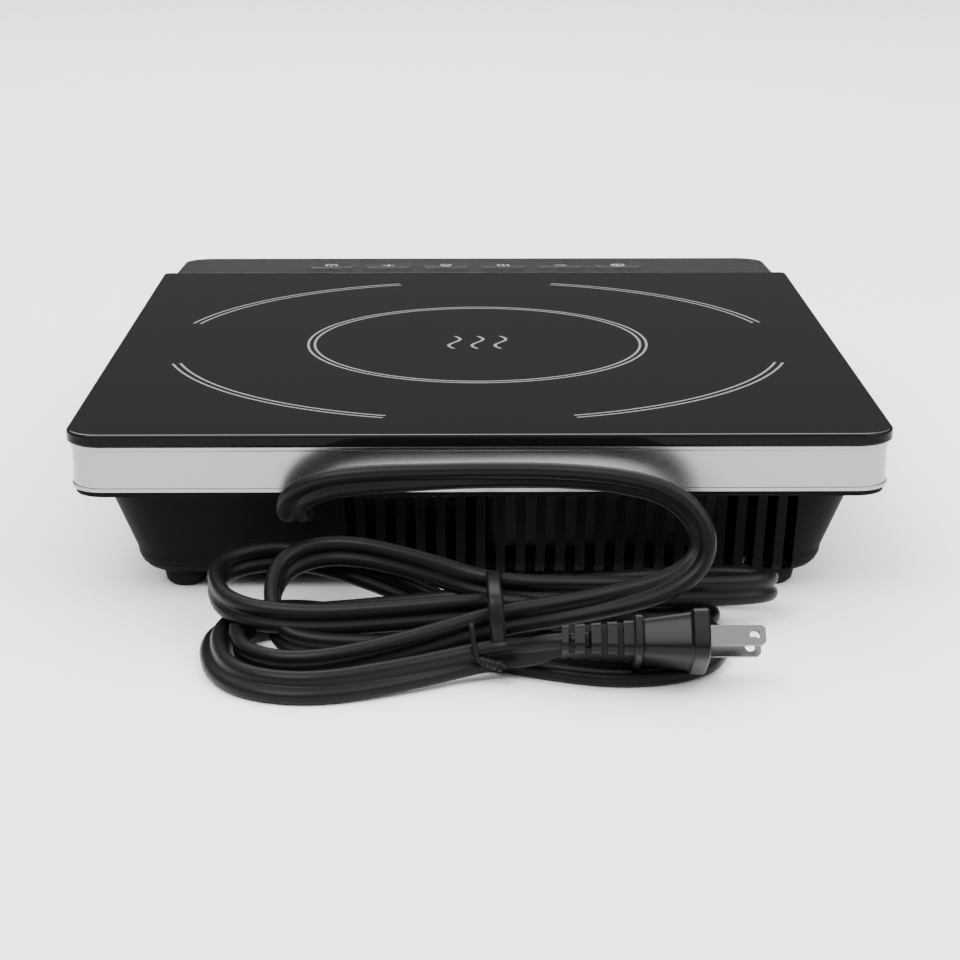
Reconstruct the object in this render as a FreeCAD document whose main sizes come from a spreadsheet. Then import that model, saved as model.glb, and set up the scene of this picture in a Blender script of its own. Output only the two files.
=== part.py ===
# Portable induction cooktop, millimetres.
# Frame: +Z up, +Y to the back, +X to the right seen from the front (control panel) side.
# Origin: middle of the footprint on the surface that the feet stand on.
import FreeCAD, Part
import math
import os
import Sketcher

Vector = FreeCAD.Vector
doc = FreeCAD.newDocument("InductionCooktop")
dim = doc.addObject("Spreadsheet::Sheet", "dim")

dimensions = [
    ("bodyDepth", 356, "whole body, front to back"),
    ("bodyHeight", 63, "feet to glass top"),
    ("plateWidth", 280, "glass plate, left to right"),
    ("plateDepth", 280, "glass plate, front to back"),
    ("plateThick", 4, "glass plate"),
    ("plateBackRadius", 12, "back corners of the glass in plan"),
    ("plateFrontRadius", 3, "front corners of the glass in plan"),
    ("plateEdge", 1, "rounding of the glass top edge"),
    ("overhang", 1, "glass beyond the band"),
    ("sealThick", 0.8, "silicone bead under the glass"),
    ("sealWidth", 7, "silicone bead, across"),
    ("sealInset", 6, "silicone bead, from the glass edge"),
    ("bandHeight", 16, "satin band"),
    ("bandGap", 0.2, "shadow line between glass and band"),
    ("bandWall", 1.2, "sheet of the band"),
    ("bandCorner", 12, "corner radius of the band"),
    ("beadProud", 0.6, "bead beyond the band wall"),
    ("beadHeight", 1.8, "bead along the band top"),
    ("lipHeight", 1.2, "turned-in foot of the band"),
    ("lipDepth", 3.2, "how far the band foot turns in"),
    ("frameWall", 2, "carrier walls and shelf"),
    ("frameClear", 0.15, "carrier to band"),
    ("coilOpening", 200, "round opening of the carrier under the glass"),
    ("zoneCentre", 0.3, "cooking zone centre, behind the glass centre"),
    ("panelDrop", 4, "glass top down to the panel's back edge"),
    ("panelFall", 4, "panel back edge down to its front edge"),
    ("panelGap", 0.3, "panel to glass line"),
    ("panelWidth", 277, "control panel"),
    ("panelThick", 2.6, "control panel sheet"),
    ("panelCorner", 13, "front corners of the panel"),
    ("windowWidth", 52, "display window"),
    ("windowDepth", 19, "display window"),
    ("windowSeat", 17, "window centre, from the panel's back edge"),
    ("windowClear", 0.12, "window to panel"),
    ("keyPitch", 27, "push keys, centre to centre"),
    ("keyWidth", 21, "push key"),
    ("keyDepth", 11, "push key"),
    ("keyRadius", 2.4, "push key corners"),
    ("keySeat", 48, "key row, from the panel's back edge"),
    ("keyClear", 0.25, "key to panel"),
    ("keyProud", 0.3, "key above the panel"),
    ("keyTravel", 0.5, "push of a key"),
    ("keyFlange", 0.9, "flange that holds a key in"),
    ("stemDiameter", 3, "key stem"),
    ("stemClear", 0.3, "key stem to switch well, on the radius"),
    ("boardDrop", 9, "panel top to control board"),
    ("boardThick", 1.6, "both circuit boards"),
    ("boardWidth", 158, "control board"),
    ("boardDepth", 60, "control board"),
    ("boardBack", 7, "control board, from the panel's back edge"),
    ("switchSide", 6.2, "tact switch"),
    ("switchHeight", 4.1, "tact switch"),
    ("tubInsetTop", 9.8, "tub wall inside the band, at its top"),
    ("tubInsetBottom", 18.4, "tub wall inside the band, above its rounded bottom edge"),
    ("tubCorner", 15, "tub corner radius"),
    ("tubWall", 2.2, "tub wall and floor"),
    ("tubEdge", 8.5, "rounding between floor and wall"),
    ("rimThick", 2, "flange of the tub under the band"),
    ("rimInset", 1.4, "flange edge inside the band"),
    ("tongueHeight", 3, "tub tongue inside the carrier"),
    ("footHeight", 6.3, "rubber feet"),
    ("footDiameter", 15, "rubber feet"),
    ("footX", 104, "feet, from the middle"),
    ("footEdge", 35, "feet, from the front and back of the body"),
    ("slotCount", 23, "vent slots in the back wall"),
    ("slotPitch", 6.9, "vent slots, centre to centre"),
    ("slotWidth", 3.6, "vent slot"),
    ("slotFirst", 44.6, "right-hand vent slot, from the middle"),
    ("slotWrap", 2, "vent slots, reach under the floor"),
    ("grilleSlot", 3, "fan grille slot"),
    ("grillePitch", 6.6, "fan grille slots, centre to centre"),
    ("bossDiameter", 9, "screw towers"),
    ("screwDiameter", 3, "screw shanks"),
    ("headDiameter", 5.6, "screw heads"),
    ("headHeight", 2.2, "screw heads"),
    ("caseScrewX", 92, "case screws, from the middle"),
    ("caseScrewEdge", 31, "case screws, from the front and back"),
    ("caseScrewReach", 262, "third pair of case screws, from the back"),
    ("fanX", -48, "fan centre"),
    ("fanReach", 86, "fan centre, from the back"),
    ("fanSide", 92, "fan frame"),
    ("fanThick", 20, "fan frame"),
    ("fanWall", 3, "fan frame, between its bore and its sides"),
    ("fanStand", 2.5, "fan above the tub floor"),
    ("fanScrewInset", 5, "fan screws, in from the frame's sides"),
    ("hubDiameter", 38, "fan hub"),
    ("hubWall", 1.6, "fan hub"),
    ("bladeCount", 7, "fan blades"),
    ("bladeGap", 1.5, "blade tip to bore"),
    ("shaftDiameter", 3, "fan shaft"),
    ("shaftClear", 0.05, "fan shaft to bearing, on the radius"),
    ("powerX0", 2, "power board, left edge"),
    ("powerReach", 230, "power board, front edge, from the back"),
    ("powerWidth", 96, "power board"),
    ("powerDepth", 168, "power board"),
    ("powerStand", 6, "power board above the tub floor"),
    ("sinkWidth", 52, "heat sink"),
    ("sinkDepth", 80, "heat sink"),
    ("sinkHeight", 23, "heat sink"),
    ("sinkBase", 5, "heat sink foot plate"),
    ("finThick", 1.6, "heat sink fins"),
    ("finCount", 9, "heat sink fins"),
    ("legThick", 0.6, "leads of the power devices"),
    ("legStand", 1.5, "power devices above the board"),
    ("deviceHeight", 20, "transistor and rectifier"),
    ("transistorWidth", 15.8, "power transistor"),
    ("transistorThick", 5, "power transistor"),
    ("transistorY", 10, "power transistor, along the heat sink"),
    ("rectifierWidth", 30, "bridge rectifier"),
    ("rectifierThick", 4.6, "bridge rectifier"),
    ("rectifierY", 36, "bridge rectifier, along the heat sink"),
    ("deviceScrewZ", 16, "device screws above the board"),
    ("capacitorX", 70, "both film capacitors, left side"),
    ("resonantReach", 122, "resonant capacitor, from the board's front edge"),
    ("filterReach", 85, "filter capacitor, from the board's front edge"),
    ("chokeX", 30, "supply choke, left side"),
    ("chokeReach", 48, "supply choke, from the board's front edge"),
    ("fuseX", 66, "line fuse"),
    ("fuseReach", 22, "line fuse, from the board's front edge"),
    ("buzzerX", 82, "buzzer"),
    ("buzzerReach", 18, "buzzer, from the board's front edge"),
    ("capacitorWidth", 25, "film capacitor"),
    ("capacitorDepth", 33, "film capacitor"),
    ("capacitorHeight", 21, "film capacitor"),
    ("capacitorLeg", 5, "film capacitor leads, from its sides"),
    ("chokeRadius", 13, "supply choke, ring and winding radius"),
    ("chokeStand", 8, "supply choke centre above the board"),
    ("fuseDiameter", 5.2, "fuse barrel"),
    ("fuseLength", 20, "fuse"),
    ("fuseCap", 6.2, "fuse cap diameter"),
    ("fuseCapLength", 5, "fuse cap"),
    ("fuseStand", 4, "fuse centre above the board"),
    ("buzzerDiameter", 12, "buzzer"),
    ("buzzerHeight", 8.5, "buzzer"),
    ("ribbonWidth", 16, "ribbon cable"),
    ("ribbonThick", 0.9, "ribbon cable"),
    ("coilDiameter", 184, "induction winding"),
    ("coilInner", 52, "induction winding, hole"),
    ("coilThick", 3.6, "induction winding"),
    ("coilGap", 3.4, "winding to glass"),
    ("formerDiameter", 192, "coil former"),
    ("formerThick", 2, "coil former"),
    ("earRadius", 107, "coil screws, from the zone centre"),
    ("ferriteCount", 8, "ferrite bars"),
    ("ferriteWidth", 12, "ferrite bar"),
    ("ferriteLength", 52, "ferrite bar"),
    ("ferriteThick", 5, "ferrite bar"),
    ("micaThick", 0.4, "mica sheet"),
    ("clampReach", 45, "cord clamp, from the back edge of the body"),
    ("cordWidth", 10.6, "flat twin cord, across"),
    ("cordThick", 5.3, "flat twin cord, through"),
    ("bushX", 61, "cord bush, from the middle"),
    ("bushZ", 34.3, "cord bush, height"),
    ("bushWidth", 13.4, "cord bush flange"),
    ("bushHeight", 8, "cord bush flange"),
    ("bushClear", 0.05, "bush neck to its hole, each side"),
    ("bushFlange", 3, "cord bush flange, front to back"),
    ("plugBladeLength", 17.5, "plug blades"),
    ("plugBladeWidth", 6.3, "plug blades"),
    ("plugBladeThick", 1.5, "plug blades"),
    ("plugBladePitch", 12.7, "plug blades, centre to centre"),
    ("plugFaceWidth", 17, "plug face, across the blade width"),
    ("plugFaceHeight", 26, "plug face, along the blade pitch"),
]
for row, (alias, size, note) in enumerate(dimensions, start=1):
    dim.set(f"A{row}", note)
    dim.set(f"B{row}", str(size))
    dim.setAlias(f"B{row}", alias)
doc.recompute()

pieces = []

# Levels and lines that several pieces share, as expressions on the sheet.
plateBottom = "(dim.bodyHeight - dim.plateThick)"
plateFrontY = "(dim.bodyDepth / 2 - dim.plateDepth)"
sealBottom = f"({plateBottom} - dim.sealThick)"
zoneY = f"({plateFrontY} + dim.plateDepth / 2 + dim.zoneCentre)"
bandTop = f"({plateBottom} - dim.bandGap)"
bandBottom = f"({bandTop} - dim.bandHeight)"
bandHalfX = "(dim.plateWidth / 2 - dim.overhang)"
bandHalfY = "(dim.bodyDepth / 2 - dim.overhang)"
footY = "(dim.bodyDepth / 2 - dim.footEdge)"
caseScrewY = "(dim.bodyDepth / 2 - dim.caseScrewEdge)"
caseScrewMiddle = "(dim.bodyDepth / 2 - dim.caseScrewReach)"
fanY = "(dim.bodyDepth / 2 - dim.fanReach)"
fanBore = "(dim.fanSide - 2 * dim.fanWall)"
fanScrewHalf = "(dim.fanSide / 2 - dim.fanScrewInset)"
powerY = "(dim.bodyDepth / 2 - dim.powerReach)"
frameInset = "(dim.beadProud + dim.bandWall + dim.frameClear)"
frameBottom = f"({bandBottom} + dim.lipHeight)"
panelBackY = f"({plateFrontY} - dim.panelGap)"
panelBackZ = "(dim.bodyHeight - dim.panelDrop)"
panelRun = f"({panelBackY} + dim.bodyDepth / 2)"
panelSlope = f"atan(dim.panelFall / {panelRun})"
panelLength = f"({panelRun} / cos({panelSlope}))"
panelUnder = f"(dim.panelThick / cos({panelSlope}))"
tubFloor = "(dim.footHeight + dim.tubWall)"
tubRimBottom = f"({bandBottom} - dim.rimThick)"
tubDraft = f"((dim.tubInsetBottom - dim.tubInsetTop) / ({tubRimBottom} - dim.footHeight - dim.tubEdge))"
powerTop = f"({tubFloor} + dim.powerStand + dim.boardThick)"
windingTop = f"({plateBottom} - dim.coilGap)"
windingBottom = f"({windingTop} - dim.coilThick)"
formerBottom = f"({windingBottom} - dim.formerThick)"
fanBottom = f"({tubFloor} + dim.fanStand)"


def value(expression):
    number = dim.evalExpression(str(expression))
    return float(getattr(number, "Value", number))


def keep(piece, label):
    piece.Label = label
    pieces.append(piece)
    return piece


def newBody(label, x="0", y="0", z="0"):
    body = doc.addObject("PartDesign::Body", label)
    body.AllowCompound = True
    for axis, place in zip("xyz", (x, y, z)):
        if place != "0":
            body.setExpression(f"Placement.Base.{axis}", place)
    return keep(body, label)


def panelBody(label):
    # Panel pieces share one tilted frame: y runs back up the slope, z is square to the panel top.
    body = newBody(label, "0", panelBackY, panelBackZ)
    body.Placement.Rotation = FreeCAD.Rotation(Vector(1, 0, 0), value(panelSlope))
    body.setExpression("Placement.Rotation.Angle", panelSlope)
    return body


def sketch(body, level="0", plane="XY_Plane"):
    drawing = body.newObject("Sketcher::SketchObject", body.Name + "Sketch")
    support = [item for item in body.Origin.OriginFeatures if item.Role == plane]
    drawing.AttachmentSupport = [(support[0], "")]
    drawing.MapMode = "FlatFace"
    if level != "0":
        drawing.setExpression("AttachmentOffset.Base.z", level)
    return drawing


def measure(drawing, kind, references, expression):
    index = drawing.addConstraint(Sketcher.Constraint(kind, *references, value(expression)))
    drawing.setExpression(f"Constraints[{index}]", str(expression))


def pin(drawing, shape, point, x=None, y=None):
    for kind, place, axis in (("DistanceX", x, -2), ("DistanceY", y, -1)):
        if place is None:
            continue
        if str(place) == "0":
            drawing.addConstraint(Sketcher.Constraint("PointOnObject", shape, point, axis))
        else:
            measure(drawing, kind, (-1, 1, shape, point), place)


def circle(drawing, x, y, diameter):
    centre = Vector(value(x), value(y), 0)
    ring = Part.Circle(centre, Vector(0, 0, 1), value(diameter) / 2)
    shape = drawing.addGeometry(ring, False)
    measure(drawing, "Diameter", (shape,), diameter)
    pin(drawing, shape, 3, x, y)


def outline(drawing, points):
    corners = [Vector(value(x), value(y), 0) for x, y in points]
    count = len(corners)
    first = drawing.GeometryCount
    for i in range(count):
        drawing.addGeometry(Part.LineSegment(corners[i], corners[(i + 1) % count]), False)
    for i in range(count):
        after = first + (i + 1) % count
        drawing.addConstraint(Sketcher.Constraint("Coincident", first + i, 2, after, 1))
    for i, (x, y) in enumerate(points):
        pin(drawing, first + i, 1, x, y)


def rectangle(drawing, x0, y0, x1, y1):
    outline(drawing, [(x0, y0), (x1, y0), (x1, y1), (x0, y1)])


def roundRect(drawing, x0, y0, x1, y1, radius, backRadius=None):
    left, front, right, back = value(x0), value(y0), value(x1), value(y1)
    near = value(radius)
    far = value(backRadius or radius)
    turns = [(right - near, front + near, near, -90), (right - far, back - far, far, 0),
             (left + far, back - far, far, 90), (left + near, front + near, near, 180)]
    arcs = []
    for x, y, size, start in turns:
        ring = Part.Circle(Vector(x, y, 0), Vector(0, 0, 1), size)
        arc = Part.ArcOfCircle(ring, math.radians(start), math.radians(start + 90))
        arcs.append(drawing.addGeometry(arc, False))
    sides = []
    for i in range(4):
        begin = drawing.getPoint(arcs[i - 1], 2)
        end = drawing.getPoint(arcs[i], 1)
        sides.append(drawing.addGeometry(Part.LineSegment(begin, end), False))
    for i in range(4):
        drawing.addConstraint(Sketcher.Constraint("Tangent", sides[i], 2, arcs[i], 1))
        drawing.addConstraint(Sketcher.Constraint("Tangent", arcs[i - 1], 2, sides[i], 1))
        direction = "Horizontal" if i % 2 == 0 else "Vertical"
        drawing.addConstraint(Sketcher.Constraint(direction, sides[i]))
    measure(drawing, "Radius", (arcs[0],), radius)
    drawing.addConstraint(Sketcher.Constraint("Equal", arcs[0], arcs[3]))
    drawing.addConstraint(Sketcher.Constraint("Equal", arcs[1], arcs[2]))
    if backRadius is None:
        drawing.addConstraint(Sketcher.Constraint("Equal", arcs[0], arcs[1]))
    else:
        measure(drawing, "Radius", (arcs[1],), backRadius)
    pin(drawing, sides[0], 1, y=y0)
    pin(drawing, sides[1], 1, x=x1)
    pin(drawing, sides[2], 1, y=y1)
    pin(drawing, sides[3], 1, x=x0)


def slab(drawing, halfX, halfY, radius):
    roundRect(drawing, f"-{halfX}", f"-{halfY}", halfX, halfY, radius)


def extrude(body, kind, drawing, length, reverse, middle):
    feature = body.newObject(kind, body.Name + kind.split("::")[1])
    feature.Profile = drawing
    feature.Reversed = reverse
    if middle:
        feature.SideType = "Symmetric"
    feature.setExpression("Length", str(length))
    return feature


def pad(body, drawing, length, reverse=False, middle=False):
    return extrude(body, "PartDesign::Pad", drawing, length, reverse, middle)


def pocket(body, drawing, length, reverse=False, middle=False):
    doc.recompute()
    before = body.Shape.Volume
    feature = extrude(body, "PartDesign::Pocket", drawing, length, reverse, middle)
    doc.recompute()
    if body.Shape.Volume > before - 0.01:
        raise RuntimeError(f"{body.Label}: a pocket cuts nothing")
    return feature


def turn(body, drawing, kind="PartDesign::Revolution"):
    feature = body.newObject(kind, body.Name + "Turn")
    feature.Profile = drawing
    feature.ReferenceAxis = (drawing, ["V_Axis"])
    feature.Angle = 360
    return feature


def loft(body, drawings, kind="PartDesign::AdditiveLoft"):
    feature = body.newObject(kind, body.Name + "Loft")
    feature.Profile = drawings[0]
    feature.Sections = drawings[1:]
    feature.Ruled = True
    return feature


def spread(body, feature, axis, length, count):
    pattern = body.newObject("PartDesign::LinearPattern", body.Name + "Row")
    pattern.Originals = [feature]
    guide = [item for item in body.Origin.OriginFeatures if item.Role == axis]
    pattern.Direction = (guide[0], [""])
    pattern.setExpression("Length", length)
    pattern.setExpression("Occurrences", count)
    body.Tip = pattern
    return pattern


def ringOf(body, feature, count, axis="Z_Axis"):
    pattern = body.newObject("PartDesign::PolarPattern", body.Name + "Ring")
    pattern.Originals = [feature]
    guide = [item for item in body.Origin.OriginFeatures if item.Role == axis]
    pattern.Axis = (guide[0], [""])
    pattern.Angle = 360
    pattern.setExpression("Occurrences", count)
    body.Tip = pattern
    return pattern


def roundEdges(body, wanted, radius, kind="PartDesign::Fillet"):
    doc.recompute()
    base = body.Tip
    names = []
    for number, edge in enumerate(base.Shape.Edges, start=1):
        if wanted(edge):
            names.append(f"Edge{number}")
    if not names:
        raise RuntimeError(f"{body.Label}: no edge to round")
    feature = body.newObject(kind, body.Name + "Round")
    feature.Base = (base, names)
    feature.setExpression("Radius" if kind.endswith("Fillet") else "Size", radius)
    return feature


def levelEdge(height):
    def wanted(edge):
        box = edge.BoundBox
        return abs(box.ZMin - height) < 0.01 and abs(box.ZMax - height) < 0.01
    return wanted


def discs(body, level, places, diameter, height, reverse=False, cut=False):
    drawing = sketch(body, level)
    for x, y in places:
        circle(drawing, x, y, diameter)
    make = pocket if cut else pad
    return make(body, drawing, height, reverse)


def screws(label, places, seat, length, upward, recess="dim.headHeight / 2", body=None):
    # Heads sit on the seat level; shanks run up (upward) or down from it.
    body = body or newBody(label)
    discs(body, seat, places, "dim.headDiameter", "dim.headHeight", reverse=upward)
    discs(body, seat, places, "dim.screwDiameter", length, reverse=not upward)
    headTop = f"({seat} - dim.headHeight)" if upward else f"({seat} + dim.headHeight)"
    drawing = sketch(body, headTop)
    for x, y in places:
        arm = "dim.headDiameter * 0.32"
        leaf = "dim.headDiameter * 0.07"
        quarter = [(leaf, arm), (leaf, leaf), (arm, leaf)]
        rim = []
        for signX, signY, order in ((1, 1, 1), (1, -1, -1), (-1, -1, 1), (-1, 1, -1)):
            for across, along in quarter[::order]:
                rim.append((f"{x} + ({signX}) * {across}", f"{y} + ({signY}) * {along}"))
        outline(drawing, rim)
    pocket(body, drawing, recess, reverse=upward)
    return body


def corners(x, y):
    return [(f"({a}) * {x}", f"({b}) * {y}") for a in (-1, 1) for b in (-1, 1)]


# Places that several pieces share.
casePlaces = [("-dim.caseScrewX", f"-{caseScrewY}"), ("dim.caseScrewX", f"-{caseScrewY}"),
              ("-dim.caseScrewX", caseScrewY), ("dim.caseScrewX", caseScrewY),
              ("-dim.caseScrewX", caseScrewMiddle), ("dim.caseScrewX", caseScrewMiddle)]
footPlaces = corners("dim.footX", footY)
coilPlaces = [("dim.earRadius", zoneY), ("-dim.earRadius", zoneY), ("0", f"{zoneY} + dim.earRadius"),
              ("0", f"{zoneY} - dim.earRadius")]
boardPlaces = [(f"dim.powerX0 + {a} * 6 + {1 - a} * (dim.powerWidth - 6)",
                f"{powerY} + {b} * 6 + {1 - b} * (dim.powerDepth - 6)") for a in (0, 1) for b in (0, 1)]
fanPlaces = [(f"dim.fanX + {a} * {fanScrewHalf}", f"{fanY} + {b} * {fanScrewHalf}")
             for a in (-1, 1) for b in (-1, 1)]
clampY = "(dim.bodyDepth / 2 - dim.clampReach)"
clampPlaces = [("dim.bushX - 11", clampY), ("dim.bushX + 11", clampY)]
caseSeat = f"({tubFloor} + dim.tubWall)"
footSeat = "(dim.headHeight + 1)"
footScrewTop = f"({tubFloor} + dim.powerStand * 0.6)"
neckHalfX = "(dim.cordWidth / 2 + 0.6)"
neckHalfZ = "(dim.cordThick / 2 + 0.6)"


# ---- shell: glass, band, carrier, tub ------------------------------------------------------

def glassTop():
    body = newBody("glass_top", z=plateBottom)
    drawing = sketch(body)
    roundRect(drawing, "-dim.plateWidth / 2", plateFrontY, "dim.plateWidth / 2", "dim.bodyDepth / 2",
              "dim.plateFrontRadius", "dim.plateBackRadius")
    pad(body, drawing, "dim.plateThick")
    roundEdges(body, levelEdge(value("dim.plateThick")), "dim.plateEdge")
    roundEdges(body, levelEdge(0), "dim.plateEdge * 0.5")


def glassSeal():
    body = newBody("glass_seal", z=sealBottom)
    drawing = sketch(body)
    for inset in ("dim.sealInset", "(dim.sealInset + dim.sealWidth)"):
        roundRect(drawing, f"{inset} - dim.plateWidth / 2", f"{plateFrontY} + {inset}",
                  f"dim.plateWidth / 2 - {inset}", f"dim.bodyDepth / 2 - {inset}", "dim.plateFrontRadius")
    pad(body, drawing, "dim.sealThick")


def slopeCut(body, drop):
    # Takes away what stands above the panel's slope, lowered by drop.
    drawing = sketch(body, plane="YZ_Plane")
    back = f"({panelBackZ} - {drop})"
    low = f"({back} - dim.panelFall)"
    outline(drawing, [(f"-dim.bodyDepth / 2", low), (panelBackY, back), (panelBackY, "dim.bodyHeight"),
                      ("-dim.bodyDepth / 2", "dim.bodyHeight")])
    pocket(body, drawing, "dim.plateWidth + 2", middle=True)


def bandOutline(drawing, inset):
    slab(drawing, f"({bandHalfX} - {inset})", f"({bandHalfY} - {inset})", f"dim.bandCorner - {inset}")


def trimBand():
    body = newBody("trim_band")
    rings = [(bandBottom, "dim.bandHeight", "dim.beadProud", "(dim.beadProud + dim.bandWall)"),
             (f"({bandTop} - dim.beadHeight)", "dim.beadHeight", "0", "(dim.beadProud + dim.bandWall)"),
             (bandBottom, "dim.lipHeight", "dim.beadProud / 3",
              "(dim.beadProud + dim.bandWall + dim.lipDepth)")]
    for level, height, outer, inner in rings:
        drawing = sketch(body, level)
        bandOutline(drawing, outer)
        bandOutline(drawing, inner)
        pad(body, drawing, height)
    slopeCut(body, panelUnder)
    beadSide = value(bandHalfX)

    def beadEdge(edge):
        box = edge.BoundBox
        flat = abs(box.ZMin - box.ZMax) < 0.01
        outside = max(abs(box.XMin), abs(box.XMax)) > beadSide - 0.01 or box.YMax > value(bandHalfY) - 0.01
        behind = box.YMin > value(panelBackY) - 0.01
        high = box.ZMin > value(f"{bandTop} - dim.beadHeight") - 0.01
        return flat and outside and behind and high
    roundEdges(body, beadEdge, "dim.beadProud * 0.8")


def upperFrame():
    body = newBody("upper_frame")
    outer = f"({frameInset})"
    inner = f"({frameInset} + dim.frameWall)"
    drawing = sketch(body, frameBottom)
    bandOutline(drawing, outer)
    bandOutline(drawing, inner)
    pad(body, drawing, f"{sealBottom} - {frameBottom}")
    slopeCut(body, panelUnder)
    # level shelf under the glass
    drawing = sketch(body, f"{sealBottom} - dim.frameWall")
    joint = "(dim.beadProud + dim.bandWall + dim.frameClear + dim.frameWall / 2)"
    roundRect(drawing, f"-({bandHalfX} - {joint})", panelBackY, f"({bandHalfX} - {joint})",
              f"({bandHalfY} - {joint})", "dim.plateFrontRadius", f"dim.bandCorner - {joint}")
    pad(body, drawing, "dim.frameWall")
    # sloping shelf under the panel, with the riser that meets the level one
    shelfBack = f"({panelBackZ} - {panelUnder})"
    shelfFront = f"({shelfBack} - dim.panelFall)"
    drawing = sketch(body, plane="YZ_Plane")
    front = "(-dim.bodyDepth / 2)"
    riser = f"({panelBackY} + dim.frameWall)"
    outline(drawing, [(front, f"{shelfFront} - dim.frameWall"), (riser, f"{shelfBack} - dim.frameWall"),
                      (riser, sealBottom), (panelBackY, sealBottom), (panelBackY, shelfBack),
                      (front, shelfFront)])
    pad(body, drawing, f"2 * ({bandHalfX} - {joint})", middle=True)
    # screw bosses and coil bosses hang from the shelves
    discs(body, f"{sealBottom} - dim.frameWall / 2", casePlaces[2:], "dim.bossDiameter",
          f"{sealBottom} - dim.frameWall / 2 - {frameBottom}", reverse=True)
    bossFall = f"dim.panelFall * ({caseScrewY} + {panelBackY}) / {panelRun}"
    bossTop = f"({shelfBack} - {bossFall} - dim.frameWall * 0.6)"
    discs(body, bossTop, casePlaces[:2], "dim.bossDiameter", f"{bossTop} - {frameBottom}", reverse=True)
    discs(body, f"{sealBottom} - dim.frameWall / 2", coilPlaces, "dim.bossDiameter",
          f"{sealBottom} - dim.frameWall / 2 - {windingBottom}", reverse=True)
    # trimmed to the band's inside
    drawing = sketch(body, frameBottom)
    bandOutline(drawing, "(-10 * dim.overhang)")
    bandOutline(drawing, outer)
    pocket(body, drawing, "dim.bodyHeight", reverse=True)
    discs(body, frameBottom, [("0", zoneY)], "dim.coilOpening", "dim.bodyHeight", reverse=True, cut=True)
    drawing = sketch(body, frameBottom)
    halfOpening = "(dim.boardWidth / 2 + 2)"
    roundRect(drawing, f"-{halfOpening}", f"{panelBackY} - dim.boardBack - dim.boardDepth - 2", halfOpening,
              f"{panelBackY} - dim.boardBack + 2", "dim.plateFrontRadius")
    pocket(body, drawing, "dim.bodyHeight", reverse=True)
    discs(body, frameBottom, casePlaces, "dim.screwDiameter", "dim.tongueHeight * 2", reverse=True,
          cut=True)
    discs(body, windingBottom, coilPlaces, "dim.screwDiameter", "dim.coilThick * 0.6", reverse=True,
          cut=True)


def tubOutline(drawing, inset, shrink="0", corner="dim.tubCorner"):
    slab(drawing, f"({bandHalfX} - {inset} - {shrink})", f"({bandHalfY} - {inset} - {shrink})",
         f"{corner} - {shrink}")


def tubLoft(body, floor, edge, shrink, kind):
    # Drafted walls above a rounded bottom edge.
    drawings = []
    steps = 5
    for step in range(steps + 1):
        swing = 90 * step / steps
        inward = f"({edge} * (1 - sin({swing})))"
        drawings.append(sketch(body, f"({floor} + {edge} * (1 - cos({swing})))"))
        tubOutline(drawings[-1], f"(dim.tubInsetBottom + {inward})", shrink, f"dim.tubCorner - {inward}")
    drawings.append(sketch(body, tubRimBottom))
    tubOutline(drawings[-1], "dim.tubInsetTop", shrink)
    loft(body, drawings, kind)


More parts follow.
